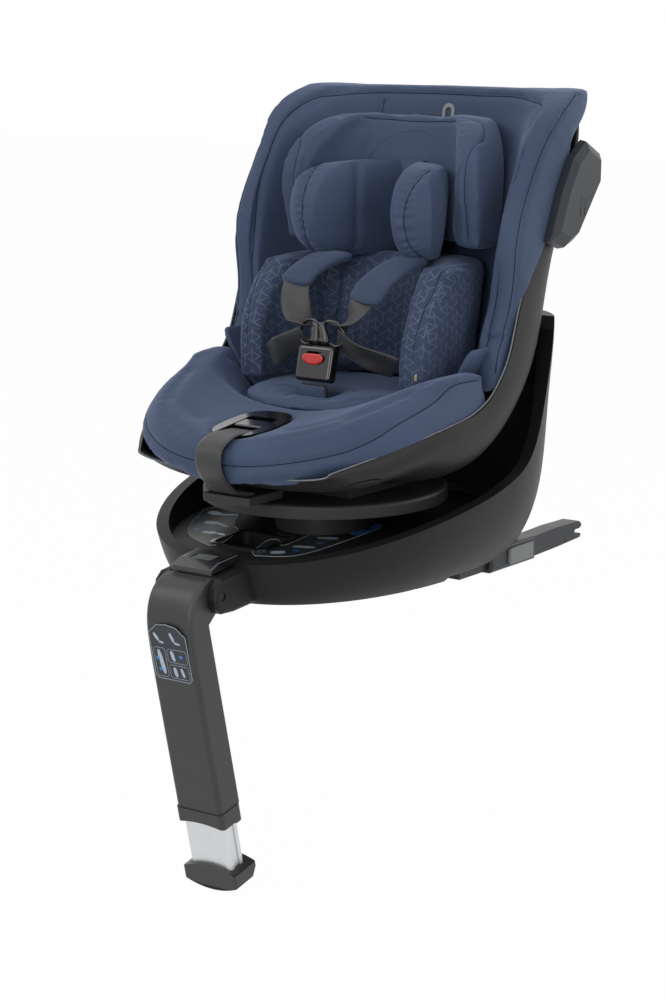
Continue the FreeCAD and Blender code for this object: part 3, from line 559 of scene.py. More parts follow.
def stitch_tree():
    """A Geometry Nodes tree that lays rounded stitches along a line of edges."""
    tree = bpy.data.node_groups.new("stitch_row", "GeometryNodeTree")
    face = tree.interface
    face.new_socket("Geometry", in_out="INPUT", socket_type="NodeSocketGeometry")
    for name, value in (("Spacing", 0.0030), ("Stitch Length", 0.0034), ("Radius", 0.0005),
                        ("Unevenness", 0.12)):
        face.new_socket(name, in_out="INPUT", socket_type="NodeSocketFloat").default_value = value
    face.new_socket("Seed", in_out="INPUT", socket_type="NodeSocketInt").default_value = 7
    face.new_socket("Thread", in_out="INPUT", socket_type="NodeSocketMaterial")
    face.new_socket("Geometry", in_out="OUTPUT", socket_type="NodeSocketGeometry")

    def node(kind, label="", **values):
        made = tree.nodes.new(kind)
        made.label = label
        for key, value in values.items():
            setattr(made, key, value)
        return made

    given, result = node("NodeGroupInput"), node("NodeGroupOutput")
    line = node("GeometryNodeMeshToCurve", "seam line")
    even = node("GeometryNodeResampleCurve", "one point per stitch", mode="LENGTH")
    bead = node("GeometryNodeMeshUVSphere", "stitch")
    bead.inputs["Segments"].default_value, bead.inputs["Rings"].default_value = 6, 5
    bead.inputs["Radius"].default_value = 1.0
    along, turn = node("GeometryNodeInputTangent"), node("FunctionNodeAlignRotationToVector", axis="Z")
    half = node("ShaderNodeMath", "half a stitch", operation="MULTIPLY")
    half.inputs[1].default_value = 0.5
    size = node("ShaderNodeCombineXYZ", "stitch size")
    low = node("ShaderNodeMath", "least size", operation="SUBTRACT")
    low.inputs[0].default_value = 1.0
    vary = node("FunctionNodeRandomValue", "uneven hand", data_type="FLOAT")
    vary.inputs[3].default_value = 1.0
    scaled = node("ShaderNodeVectorMath", operation="SCALE")
    place = node("GeometryNodeInstanceOnPoints")
    real, coat = node("GeometryNodeRealizeInstances"), node("GeometryNodeSetMaterial")
    smooth = node("GeometryNodeSetShadeSmooth")
    link = tree.links.new
    link(given.outputs["Geometry"], line.inputs["Mesh"])
    link(line.outputs["Curve"], even.inputs["Curve"])
    link(given.outputs["Spacing"], even.inputs["Length"])
    link(even.outputs["Curve"], place.inputs["Points"])
    link(bead.outputs["Mesh"], place.inputs["Instance"])
    link(along.outputs["Tangent"], turn.inputs["Vector"])
    link(turn.outputs["Rotation"], place.inputs["Rotation"])
    link(given.outputs["Stitch Length"], half.inputs[0])
    link(given.outputs["Radius"], size.inputs["X"])
    link(given.outputs["Radius"], size.inputs["Y"])
    link(half.outputs[0], size.inputs["Z"])
    link(given.outputs["Unevenness"], low.inputs[1])
    link(low.outputs[0], vary.inputs[2])
    link(given.outputs["Seed"], vary.inputs["Seed"])
    link(size.outputs[0], scaled.inputs[0])
    link(vary.outputs[1], scaled.inputs["Scale"])
    link(scaled.outputs[0], place.inputs["Scale"])
    link(place.outputs["Instances"], real.inputs["Geometry"])
    link(real.outputs["Geometry"], smooth.inputs["Geometry"])
    link(smooth.outputs["Geometry"], coat.inputs["Geometry"])
    link(given.outputs["Thread"], coat.inputs["Material"])
    link(coat.outputs["Geometry"], result.inputs["Geometry"])
    return tree


STITCHES = stitch_tree()


def stitch_along(name, line, finish, **sizes):
    """A row of stitches along a line of points, as a plain mesh."""
    edges = [(i, i + 1) for i in range(len(line) - 1)]
    mesh = bpy.data.meshes.new(name)
    mesh.from_pydata([tuple(p) for p in line], edges, [])
    piece = bpy.data.objects.new(name, mesh)
    bpy.context.collection.objects.link(piece)
    maker = piece.modifiers.new("stitches", "NODES")
    maker.node_group = STITCHES
    values = dict(sizes, Thread=FINISH[finish])
    for item in STITCHES.interface.items_tree:
        if item.in_out == "INPUT" and item.name.replace(" ", "_") in values:
            maker[item.identifier] = values[item.name.replace(" ", "_")]
    apply_modifiers(piece)
    piece.data.materials.clear()
    piece.data.materials.append(FINISH[finish])
    return piece


def sew(piece, path, width=0.0035, depth=0.0022, bead=0.00055, count=160, finish="seam",
        closed=False):
    """A seam on a padded piece: a groove with a line of dark stitches in it."""
    line = laid_on(piece, curve_through(path, count, closed))
    press_line(piece, line, width, depth)
    line = laid_on(piece, line, bead * 0.15)
    return stitch_along(piece.name + "_thread", line + line[:1] * closed, finish, Radius=bead)


def ruffle(piece, strength, size, seed):
    """Small soft unevenness of cloth over foam, along the surface's normals."""
    mesh = piece.data
    shift = Vector((seed, seed * 0.7, -seed))
    moves = []
    for v in mesh.vertices:
        moves.append(v.normal * (noise.noise(v.co / size + shift) * strength))
    for v, move in zip(mesh.vertices, moves):
        v.co += move
    mesh.update()


def inflate(piece, cap, pressure=4.0, frames=20):
    """Inflates a closed pad with a short cloth simulation and keeps the result."""
    scene = bpy.context.scene
    mesh = piece.data
    start = [v.co.copy() for v in mesh.vertices]
    piece.vertex_groups.new(name="held")      # empty, so that every point of the pad is free
    cloth = piece.modifiers.new("cloth", "CLOTH")
    settings = cloth.settings
    settings.quality = 4
    settings.mass = 0.25
    settings.tension_stiffness = settings.compression_stiffness = 12
    settings.shear_stiffness = 8
    settings.bending_stiffness = 0.6
    settings.use_pressure = True
    settings.uniform_pressure_force = pressure
    settings.effector_weights.gravity = 0
    settings.vertex_group_mass = "held"
    cloth.collision_settings.use_collision = False
    cloth.point_cache.frame_start, cloth.point_cache.frame_end = 1, frames
    for step in range(1, frames + 1):
        scene.frame_set(step)
    graph = bpy.context.evaluated_depsgraph_get()
    shape = [v.co.copy() for v in piece.evaluated_get(graph).data.vertices]
    scene.frame_set(1)
    piece.modifiers.clear()
    piece.vertex_groups.clear()
    for v, a, b in zip(mesh.vertices, start, shape):
        move = b - a
        if move.length > cap:
            move *= cap / move.length
        v.co = a + move
    mesh.update()


def apply_modifiers(piece):
    """Keeps the evaluated mesh and drops the modifiers that made it."""
    graph = bpy.context.evaluated_depsgraph_get()
    mesh = bpy.data.meshes.new_from_object(piece.evaluated_get(graph))
    old = piece.data
    piece.modifiers.clear()
    piece.data = mesh
    bpy.data.meshes.remove(old)


def subdivide(piece):
    """One level of subdivision surface, kept as plain mesh."""
    level = piece.modifiers.new("subdivide", "SUBSURF")
    level.levels = level.render_levels = 1
    apply_modifiers(piece)


def gather(piece, path, folds, depth=0.0016, width=0.010, seed=0.0):
    """Small puckers that run out from a gathered seam."""
    line = laid_on(piece, curve_through(path, folds * 8))
    tree = KDTree(len(line))
    for i, p in enumerate(line):
        tree.insert(p, i)
    tree.balance()
    moves = []
    for v in piece.data.vertices:
        _, i, distance = tree.find(v.co)
        if distance < width * 2.5:
            phase = i / 8 * 2 * math.pi + 2.2 * math.sin(i * 0.13 + seed)
            pucker = (0.5 + 0.5 * math.sin(phase)) * bell(distance, width) * ease(0, 0.002, distance)
            moves.append((v.index, v.normal * (-depth * pucker)))
    for index, move in moves:
        piece.data.vertices[index].co += move
    piece.data.update()


def lay_out_pattern(piece):
    """Gives a piece a UV map in metres, wrapped round its bolsters."""
    mesh = piece.data
    layer = mesh.uv_layers.new(name="weave")
    for face in mesh.polygons:
        across = abs(face.normal.x) > 0.72
        for index in face.loop_indices:
            co = mesh.vertices[mesh.loops[index].vertex_index].co
            turn = math.copysign(1.0, face.normal.x)
            u = (-turn * co.y + 0.31) if across else co.x
            layer.data[index].uv = (u, co.z)


def soft_copy(node, name, finish, voxel, inset, cap, soften, grow=1):
    """A padded piece in the space of a plain soft solid: same form, rounded and inflated."""
    source = NODES[node].data.copy()
    piece = bpy.data.objects.new(name, source)
    bpy.context.collection.objects.link(piece)
    source.materials.clear()
    source.materials.append(FINISH[finish])
    mend(piece, 1e-5)
    remesh = piece.modifiers.new("remesh", "REMESH")
    remesh.mode, remesh.voxel_size = "VOXEL", voxel
    relax = piece.modifiers.new("relax", "SMOOTH")
    relax.factor, relax.iterations = 0.5, soften
    apply_modifiers(piece)
    mesh = piece.data
    mesh.materials.clear()
    mesh.materials.append(FINISH[finish])
    moves = [v.normal * -inset for v in mesh.vertices]
    for v, move in zip(mesh.vertices, moves):
        v.co += move
    inflate(piece, cap)
    for _ in range(grow):
        subdivide(piece)
    for face in piece.data.polygons:
        face.use_smooth = True
        face.material_index = 0
    return piece


def mm(*points):
    """Points in millimetres as vectors in metres."""
    return [Vector(p) * MM for p in points]


def mirrored(path):
    """The same path on the other side of the seat."""
    return [Vector((-p[0], p[1], p[2])) for p in path]


def both_ways(path):
    """A path given from one side to the middle, carried on to the other side."""
    back = mirrored(path)[::-1]
    return path + (back[1:] if abs(path[-1][0]) < 1e-6 else back)


# edge of the bucket: angle about the recline centre, radius of the edge, half width
EDGE = [(126.5, 300, 202), (121, 234, 211), (114, 172, 213), (104, 124, 214), (90, 104, 214),
        (75, 98, 214), (55, 100, 214), (38, 104, 214), (20, 112, 213), (0, 120, 212),
        (-21, 138, 208), (-34, 168, 196), (-42, 205, 174), (-47.5, 248, 144)]


def on_fan(x, radius, angle):
    """A point in the fan of planes about the recline centre, 330 mm over the base."""
    a = math.radians(angle)
    return Vector((x, radius * math.sin(a), 330 - radius * math.cos(a))) * MM


def edge_path():
    """The bucket's edge from one wing to the other round the front: its front part and the whole."""
    side = [on_fan(half - 2.2, radius - 1.2, angle) for angle, radius, half in EDGE]
    front = []
    for i in range(1, 12):
        t = math.pi * i / 24
        front.append(on_fan(141.8 * math.cos(t) ** (2 / 2.3), 246.8 + 20 * math.sin(t) ** (2 / 2.3),
                            -47.5) + Vector((0, -0.0006, 0)))
    half_way = side + front
    middle = [on_fan(0, 266.8, -47.5) + Vector((0, -0.0006, 0))]
    whole = curve_through(half_way + middle + mirrored(half_way)[::-1], 420)
    ahead = [p for p in whole if p.y < 0.02]
    return ahead, whole


def stitch_down(piece, *paths, **style):
    """Sews every path into the piece and joins the threads to it."""
    threads = [sew(piece, path, **style) for path in paths]
    return join(piece.name, [piece] + threads)


def overhang(piece, path, reach, width, middle=0.04):
    """Lets a cover stand out over the bucket's edge, away from the middle of the seat."""
    tree = KDTree(len(path))
    for i, p in enumerate(path):
        tree.insert(p, i)
    tree.balance()
    for v in piece.data.vertices:
        distance = tree.find(v.co)[2]
        if distance < width * 2.5:
            away = Vector((v.co.x, v.co.y - middle, 0)).normalized()
            share = reach * bell(distance, width) * ease(0.0, -0.10, v.co.y)
            v.co += (away + Vector((0, 0, -0.15))) * share
    piece.data.update()


def well_side(side):
    """The cover's side wall between the pan and the wing, beside the infant insert."""
    rings = []
    for i in range(13):
        y = mix(36, 128, i / 12)
        rise = 3.0 * math.sin(math.pi * i / 12)
        line = [(122, 208), (140, 217 + rise), (156, 234 + rise), (168, 254 + rise), (180, 276), (184, 284)]
        under = [(x + 6, z - 5) for x, z in line][::-1]
        rings.append([Vector((side * x, y, z)) * MM for x, z in line + under])
    strip = skin("well_side", rings, "navy")
    subdivide(strip)
    return strip


def pan_cover():
    """The big seat cushion: raised sides, a dished well and a front apron below a seam."""
    pan = soft_copy("seat_cushion", "pan_cover", "navy", 0.0055, 0.0010, cap=0.005, soften=8)
    apron = both_ways(mm((207, 40, 250), (206, -20, 254), (203, -98, 237), (168, -166, 196),
                         (90, -205, 172), (0, -216, 163)))
    overhang(pan, edge_path()[0], 0.0065, 0.022)
    crease = mm((-160, -60, 240), (-146, -111, 232), (-118, -138, 214), (-70, -158, 203))
    for path in (crease, mirrored(crease)):
        press_line(pan, laid_on(pan, curve_through(path, 80)), 0.012, 0.0035)
    ruffle(pan, 0.0014, 0.070, 3.0)
    pan = stitch_down(pan, apron, width=0.0045, depth=0.0030, bead=0.0007, count=300)
    pan = join("pan_cover", [pan, well_side(1), well_side(-1)])
    return finish_piece(pan, "seat", "fabric_navy", "seat_cushion")


def back_cover():
    """Back and wings in one padded shell with a seam along the rim and one inside the wings."""
    back = soft_copy("back_cushion", "back_cover", "navy", 0.0055, 0.0010, cap=0.005, soften=6)
    inner = both_ways(mm((-178, 60, 268), (-180, 78, 320), (-182, 92, 380), (-181, 112, 460),
                         (-180, 150, 530), (-166, 205, 570), (-120, 226, 578), (0, 230, 580)))
    outer = mm((203, 52, 252), (205, 64, 300), (212, 79, 341), (214, 93, 420), (215, 114, 470),
               (216, 141, 508), (216, 190, 556), (208, 240, 584))
    short = mm((-80, 212, 574), (-79, 208, 560), (-80, 205, 545))
    for side in (1, -1):
        fold = mm((side * 176, 68, 299), (side * 190, 64, 298), (side * 206, 69, 299))
        press_line(back, laid_on(back, curve_through(fold, 60)), 0.0042, 0.0040)
        for rise in (5, 10):
            wrinkle = mm(*[(p.x / MM, p.y / MM, p.z / MM - rise) for p in fold])
            press_line(back, laid_on(back, curve_through(wrinkle, 40)), 0.0022, 0.0012)
    ruffle(back, 0.0014, 0.080, 8.0)
    back = stitch_down(back, inner, width=0.0045, depth=0.0032, bead=0.0007, count=340)
    back = stitch_down(back, outer, mirrored(outer), short, width=0.0040, depth=0.0024,
                       bead=0.0006, count=180)
    return finish_piece(back, "seat", "fabric_navy", "back_cushion")


def headrest_cover():
    """The headrest's own padded bowl, with a seamed front panel and two fine arcs."""
    cover = soft_copy("headrest_pad", "headrest_cover", "navy", 0.0045, 0.0010, cap=0.004, soften=6)
    panel = both_ways(mm((-128, 104, 398), (-129, 106, 440), (-127, 124, 496), (-114, 166, 534),
                         (-60, 182, 542), (0, 186, 544)))
    ruffle(cover, 0.0008, 0.060, 21.0)
    cover = stitch_down(cover, panel, width=0.0035, depth=0.0024, bead=0.0006, count=240)
    for radius, reach in ((0.044, 78), (0.078, 74)):
        arc = [Vector((radius * math.sin(math.radians(a)), 0.190,
                       0.452 + radius * math.cos(math.radians(a)))) for a in range(-reach, reach + 1, 3)]
        line = laid_on(cover, curve_through(arc, 90), 0.0002)
        cover = join("headrest_cover", [cover, tube_along("arc", line, 0.0006, "arc", 6)])
    return finish_piece(cover, "headrest", "fabric_navy", "headrest_pad")


lobe_tip = row_mixer([(376, 92), (384, 76), (400, 60), (435, 50), (468, 58), (484, 74), (494, 96)])


def head_support():
    """The small pillow: a flat middle and two puffed lobes with gathered seams."""
    pillow = soft_copy("head_pillow", "head_support", "navy", 0.0035, 0.0008, cap=0.006, soften=6)
    for v in pillow.data.vertices:
        tip = lobe_tip(v.co.z / MM)[0]
        x = abs(v.co.x / MM)
        back = 20 * ((x - 62) / 42) ** 2 if x > 62 else 62 * ((62 - x) / 29) ** 1.4
        limit = (tip + back) * MM
        if v.co.y < limit:
            v.co.y = mix(v.co.y, limit, 0.9)
    relax = pillow.modifiers.new("relax", "SMOOTH")
    relax.factor, relax.iterations = 0.5, 12
    apply_modifiers(pillow)
    ridges = []
    for side in (1, -1):
        ridge = mm((side * 84, 104, 488), (side * 80, 74, 474), (side * 77, 60, 452),
                   (side * 76, 56, 425), (side * 78, 64, 396), (side * 82, 92, 380))
        root = mm((side * 34, 118, 488), (side * 34, 112, 440), (side * 34, 116, 384))
        press_line(pillow, laid_on(pillow, curve_through(root, 80)), 0.006, 0.0040)
        gather(pillow, ridge, 13, 0.0022, 0.010, side)
        ridges.append(ridge)
    pillow = stitch_down(pillow, *ridges, width=0.0034, depth=0.0030, bead=0.0006, count=130)
    return finish_piece(pillow, "headrest", "fabric_navy", "head_pillow")


def body_support():
    """The patterned infant insert behind the child's body, with two bolsters."""
    insert = soft_copy("body_insert", "body_support", "pattern", 0.0045, 0.0008, cap=0.005, soften=6)
    for v in insert.data.vertices:
        x = abs(v.co.x / MM)
        v.co.y += 0.016 * max(0.0, (x - 124) / 24) ** 2 * ease(0.11, 0.04, v.co.y)
        v.co.z -= 0.034 * ease(0.292, 0.262, v.co.z)
    ruffle(insert, 0.0008, 0.050, 31.0)
    lay_out_pattern(insert)
    for side in (1, -1):
        seam = mm((side * 128, 66, 372), (side * 128, 40, 340), (side * 126, 14, 300),
                  (side * 124, 10, 266))
        insert = stitch_down(insert, seam, width=0.0035, depth=0.0022, bead=0.0005, count=120)
    return finish_piece(insert, "seat", "fabric_pattern", "body_insert")


def seat_support():
    """The crescent pad on the seat pan."""
    pad = soft_copy("seat_insert", "seat_support", "navy", 0.0040, 0.0008, cap=0.004, soften=6)
    lip = both_ways(mm((-120, 20, 220), (-118, -10, 216), (-92, -44, 208), (-48, -62, 203),
                       (0, -66, 202)))
    ruffle(pad, 0.0008, 0.050, 40.0)
    pad = stitch_down(pad, lip, width=0.0035, depth=0.0022, bead=0.0006, count=200)
    return finish_piece(pad, "seat", "fabric_navy", "seat_insert")


def small_pad(node, name):
    """A small sleeve of padded cloth in the space of its plain solid."""
    pad = soft_copy(node, name, "navy_dark", 0.0016, 0.0002, cap=0.0012, soften=4, grow=0)
    return finish_piece(pad, "seat", "fabric_navy", node)


def shoulder_sleeve(word, path, stations=60, around=40):
    """A long soft sleeve that lies from the top of the insert down over the shoulder belt."""
    spine = curve_through(mm(*path), stations)
    last = stations - 1
    rings = []
    for i, p in enumerate(spine):
        t = i / last
        run = (spine[min(i + 1, last)] - spine[max(i - 1, 0)]).normalized()
        across = (Vector((1, 0, 0)) - run * run.x).normalized()
        up = across.cross(run)
        width = mix(0.0235, 0.026, t) * (1 - 0.16 * (1 - ease(0, 0.06, t)))
        thick = 0.0062 * (1 - max(0.0, 1 - t / 0.07) ** 2 * 0.55)
        ring = []
        for k in range(around):
            a = 2 * math.pi * k / around
            u = signed_power(math.cos(a), 0.55)
            scallop = 0.0035 * (u * u - 0.4)
            ring.append(p + across * (width * u) + up * (thick * signed_power(math.sin(a), 0.85))
                        + run * (scallop * (1 - ease(0, 0.5, t))))
        rings.append(ring)
    pad = skin("shoulder_sleeve_" + word, rings, "navy_dark")
    subdivide(pad)
    for face in pad.data.polygons:
        face.use_smooth = True
    ruffle(pad, 0.0010, 0.030, 51.0)
    return finish_piece(pad, "seat", "fabric_navy", "shoulder_pad_" + word)


def ribbon(name, path, across, width, thickness, finish, count=70, wave=0.0):
    """Flat woven tape along a path. Its weave is laid out along it in metres."""
    path, across = mm(*path), [Vector(a).normalized() for a in across]
    lengths = [0.0]
    for a, b in zip(path, path[1:]):
        lengths.append(lengths[-1] + (b - a).length)
    spine = curve_through(path, count)
    columns = 10
    rings, places = [], []
    run_length = 0.0
    for i, p in enumerate(spine):
        share = i / (count - 1) * lengths[-1]
        k = max(j for j in range(len(path) - 1) if lengths[j] <= share + 1e-9)
        t = (share - lengths[k]) / (lengths[k + 1] - lengths[k])
        side = across[k].lerp(across[k + 1], t).normalized()
        run = (spine[min(i + 1, count - 1)] - spine[max(i - 1, 0)]).normalized()
        side = (side - run * side.dot(run)).normalized()
        up = side.cross(run)
        if i:
            run_length += (p - spine[i - 1]).length
        ring = []
        for half, row in ((1, range(columns + 1)), (-1, range(columns, -1, -1))):
            for c in row:
                u = 2 * c / columns - 1
                thick = thickness / 2 * (1 - 0.55 * abs(u) ** 8)
                lift = wave * math.sin(u * 2.6 + share * 40.0)
                ring.append(p + side * (u * width / 2) + up * (half * thick + lift))
                places.append((u * width / 2, run_length))
        rings.append(ring)
    strap = skin(name, rings, finish)
    tree = KDTree(len(places))
    for i, p in enumerate(q for ring in rings for q in ring):
        tree.insert(p, i)
    tree.balance()
    spots = [places[tree.find(v.co)[1]] for v in strap.data.vertices]
    layer = strap.data.uv_layers.new(name="weave")
    for loop in strap.data.loops:
        layer.data[loop.index].uv = spots[loop.vertex_index]
    return strap


def tongue(side, word):
    """One half of the tongue: a shaped blade with an open loop that carries the belts."""
    route = mm((side * 6, -9, 306), (side * 18, -8, 309), (side * 29, -7, 302), (side * 33, -7, 290),
               (side * 28, -8, 281), (side * 18, -9, 280), (side * 9, -10, 288))
    loop = tube_along("tongue_loop", curve_through(route, 72, True), 2.1 * MM, "gloss", 10, True)
    rings = [[Vector((side * x, y, z)) * MM
              for x, y in ((0.6, -15), (wide, -15), (wide, -10.5), (0.6, -10.5))]
             for z, wide in ((279, 13), (286, 15), (294, 12), (302, 9), (308, 8))]
    neck = skin("tongue_neck", rings, "gloss")
    blade = join("tongue_blade_" + word, [neck, loop])
    return finish_piece(blade, "seat", "gloss_black", "harness_tongue_" + word)


def buckle_face():
    """The push button of the buckle: a wide red crescent with a rounded face."""
    outline = [(-16, 262.5), (-11, 259.2), (-5, 257.6), (0, 257.2), (5, 257.6), (11, 259.2), (16, 262.5),
               (15.5, 270), (8, 271), (0, 271.2), (-8, 271), (-15.5, 270)]
    front = min(corner[1] for corner in NODES["buckle_button"].bound_box)
    rings = []
    for grow, back in ((1.0, 3.0), (1.0, 0.2), (0.94, -0.5), (0.80, -0.9)):
        rings.append([Vector((x * grow * MM, front + back * MM, ((z - 265) * grow + 265) * MM))
                      for x, z in outline])
    face = skin("buckle_crescent", rings, "red")
    subdivide(face)
    return finish_piece(face, "buckle_push", "button_red", "buckle_button")


def harness():
    """Shoulder, lap, crotch and adjuster webbing."""
    routes = {"left": [(54, 8, 340), (47, 0, 326), (36, -3, 312), (22, -5, 302)],
              "right": [(-55, 18, 356), (-50, 6, 334), (-40, -1, 314), (-23, -5, 300)]}
    for side, word in ((1, "left"), (-1, "right")):
        strap = ribbon("shoulder_webbing_" + word, routes[word],
                       [(1, 0, 0), (1, -0.25 * side, 0), (0.9, -0.6 * side, 0.25 * side),
                        (0.8, -0.3 * side, 0.8 * side)],
                       0.036, 0.0018, "webbing", wave=0.0012)
        finish_piece(strap, "seat", "webbing_black", "shoulder_strap_" + word)
        path = [(side * 24, -8, 288), (side * 60, -10, 272), (side * 94, 14, 256)]
        strap = ribbon("lap_webbing_" + word, path, [(0.5 * side, -0.5, 1), (0, -0.5, 1), (0, -0.5, 1)],
                       0.030, 0.0018, "webbing", wave=0.0008)
        finish_piece(strap, "seat", "webbing_black", "lap_strap_" + word)
    strap = ribbon("crotch_webbing", [(0, -11, 188), (0, -17.5, 212), (0, -23, 234.2)],
                   [(1, 0, 0)] * 3, 0.038, 0.0018, "webbing", 30)
    finish_piece(strap, "seat", "webbing_black", "crotch_strap")
    strap = ribbon("adjuster_webbing", [(0, -163, 196.5), (0, -200, 196), (0, -223.5, 186),
                                        (0, -229, 170), (0, -221.5, 150), (0, -197, 128)],
                   [(1, 0, 0)] * 6, 0.038, 0.0018, "webbing_pull", 80)
    finish_piece(strap, "seat", "webbing_black", "adjuster_strap")




# ---------------------------------------------------------------- trim

def bucket_edging():
    """The thin light edging where the cover tucks behind the bucket's edge."""
    path = edge_path()[1]
    bead = tube_along("bucket_edging", curve_through(path, 420), 0.0010, "piping", 8)
    return finish_piece(bead, "seat", "fabric_navy")


def rounded_off(outline, times):
    """The outline as vectors, its corners cut once for each time."""
    points = [Vector((u, v, 0)) for u, v in outline]
    for _ in range(times):
        count = len(points)
        points = [q for i in range(count) for q in (points[i].lerp(points[(i + 1) % count], 0.22),
                                                    points[i].lerp(points[(i + 1) % count], 0.78))]
    return points


def flat_piece(name, outline, place, thickness, finish, round_off=0):
    """A thin plate with a flat outline. The place function gives a point for (u, v, height)."""
    points = rounded_off(outline, round_off)
    count = len(points)
    verts = [place(p.x, p.y, h) for h in (0.0, thickness) for p in points]
    faces = [tuple(range(count))[::-1], tuple(range(count, 2 * count))]
    faces += [(i, (i + 1) % count, count + (i + 1) % count, count + i) for i in range(count)]
    return add_mesh(name, verts, faces, finish, smooth=False)


def frame_line(name, outline, place, lift, radius, round_off=0):
    """A fine raised line round a plate or a field."""
    points = rounded_off(outline, round_off)
    line = []
    for a, b in zip(points, points[1:] + points[:1]):
        steps = max(1, int((b - a).length / 6))
        line += [a.lerp(b, k / steps) for k in range(steps)]
    return tube_along(name, [place(p.x, p.y, lift) for p in line], radius * MM, "line", 6, True)


def bar(place, u0, v0, u1, v1, width, finish="pale", lift=0.35):
    """A short flat bar between two points of a plate."""
    a, b = Vector((u0, v0)), Vector((u1, v1))
    side = (b - a).normalized().orthogonal() * (width / 2)
    corners = [a + side, b + side, b - side, a - side]
    return flat_piece("bar", [tuple(c) for c in corners],
                      lambda u, v, h: place(u, v, h + lift), 0.12, finish, 1)


def on_deck(u, v, height):
    """A point on the deck of the base, which falls gently towards the front."""
    return Vector((u, v, 58.0 + 0.05 * min(v, 0.0) + height)) * MM


def on_leg(u, v, height):
    """A point on the front face of the leg: u across, v along it from the hinge."""
    lean = math.radians(13.3)
    y, z = -53.0 - height, v
    return Vector((u, -262 + y * math.cos(lean) - z * math.sin(lean),
                   22 + y * math.sin(lean) + z * math.cos(lean))) * MM


def rounded_box(u0, v0, u1, v1, cut=2.2):
    """The outline of a box with clipped corners."""
    return [(u0 + cut, v0), (u1 - cut, v0), (u1, v0 - cut), (u1, v1 + cut), (u1 - cut, v1),
            (u0 + cut, v1), (u0, v1 + cut), (u0, v0 - cut)]


def guide_plates():
    """Bare guide plates with a fine outline and plain bars, on the deck and on the leg."""
    left = [(-181, -6), (-128, 0), (-94, -66), (-68, -84), (-41, -166), (-104, -138), (-138, -98)]
    right = [(12, -172), (-12, -100), (2, -95), (24, -122), (20, -74), (20, -6), (44, 24), (70, 28),
             (76, -4), (73, -100), (66, -142), (52, -158)]
    blue = [(20, -6), (44, 24), (70, 28), (76, -4), (75, -40)]
    pieces = [flat_piece("deck_plates", left, on_deck, 0.35, "slate", 1),
              frame_line("edge", left, on_deck, 0.4, 0.45, round_off=1),
              flat_piece("plate", right, on_deck, 0.35, "slate", 1),
              frame_line("edge", right, on_deck, 0.4, 0.45, round_off=1),
              flat_piece("end", blue, lambda u, v, h: on_deck(u, v, h + 0.36), 0.12, "blue", 1)]
    for u0, v0, u1, v1, wide in ((-160, -28, -138, -34, 13), (-140, -34, -118, -24, 6),
                                 (-132, -72, -112, -70, 12), (-112, -70, -92, -78, 6),
                                 (-104, -112, -86, -108, 10), (-84, -108, -66, -112, 6),
                                 (28, -148, 42, -138, 12), (34, -112, 60, -104, 8),
                                 (36, -66, 60, -56, 9), (46, -4, 60, 6, 5)):
        pieces.append(bar(on_deck, u0, v0, u1, v1, wide))
    for u, v in ((-158, -60), (-124, -104), (50, -84), (46, -128)):
        pieces.append(bar(on_deck, u, v, u + 7, v + 3, 4, "blue"))
    plate = join("deck_plates", pieces)
    finish_piece(plate, "base", "base_black")

    outline = [(-27, -31), (-14, -20), (0, -18), (14, -20), (27, -31), (27, -84), (23, -89), (-23, -89),
               (-27, -84)]
    fields = [rounded_box(-24, -49, -7, -86), rounded_box(-4, -49, 24, -66), rounded_box(-4, -69, 24, -86)]
    pieces = [flat_piece("leg_plate", outline, on_leg, 0.3, "slate"),
              frame_line("edge", outline, on_leg, 0.35, 0.5)]
    pieces += [frame_line("field", field, on_leg, 0.35, 0.35) for field in fields]
    for u0, v0, u1, v1, wide in ((-17, -52, -12, -82, 6), (2, -51, 5, -64, 5), (-20, -31, -14, -40, 4),
                                 (-14, -41, -7, -42, 2.5), (4, -28, 9, -39, 4), (9, -40, 17, -41, 2.5),
                                 (3, -72, 5, -84, 5), (13, -72, 16, -83, 4)):
        pieces.append(bar(on_leg, u0, v0, u1, v1, wide))
    for u, v in ((-22, -63), (-20, -77), (13, -57)):
        pieces.append(bar(on_leg, u, v, u + 5, v, 4, "blue"))
    plate = join("leg_plate", pieces)
    finish_piece(plate, "leg", "shell_black")


def care_tag():
    """The small bare cloth tag in the seam under the insert's left bolster."""
    def place(u, v, h):
        return Vector((131 + 0.4 * h, 4 + 0.5 * u + h, 249 + v + 0.12 * u)) * MM
    leaf = flat_piece("care_tag", [(-7, -3), (7, -4), (8, 3), (1, 5), (-6, 4)], place, -0.8, "tag", 1)
    return finish_piece(leaf, "seat", "fabric_navy")


def pod_slot_shades():
    """Rows of fine slots on the pods' faces, drawn as dark strips: painted shade where the slots' recesses
    would be.
    """
    for side, word in ((1, "left"), (-1, "right")):
        box = [Vector(c) for c in NODES["side_pod_" + word].bound_box]
        low = [min(c[k] for c in box) for k in range(3)]
        high = [max(c[k] for c in box) for k in range(3)]
        face = high[0] if side > 0 else low[0]
        surface = surface_of(NODES["side_pod_" + word])
        rows = []
        for i in range(3):
            y = mix(low[1], high[1], 0.50 + 0.09 * i)
            z = mix(low[2], high[2], 0.30)
            ends = [(y - 0.004, z), (y + 0.000, z + 0.022)]
            ring = [Vector((face + side * 0.0001, y0 + dy, z0)) for (y0, z0), dy in
                    ((ends[0], 0), (ends[0], 0.003), (ends[1], 0.003), (ends[1], 0))]
            spots = [surface.find_nearest(p)[:2] for p in ring]
            # each slot is a thin block just proud of the face; its darker finish is the painted shade of
            # the slot's recess
            rows.append(skin("slot", [[p + n * 0.00015 for p, n in spots],
                                      [p - n * 0.0012 for p, n in spots]], "inner"))
        slots = join("pod_slots_" + word, rows)
        finish_piece(slots, "seat", "pod_charcoal")


# ---------------------------------------------------------------- building

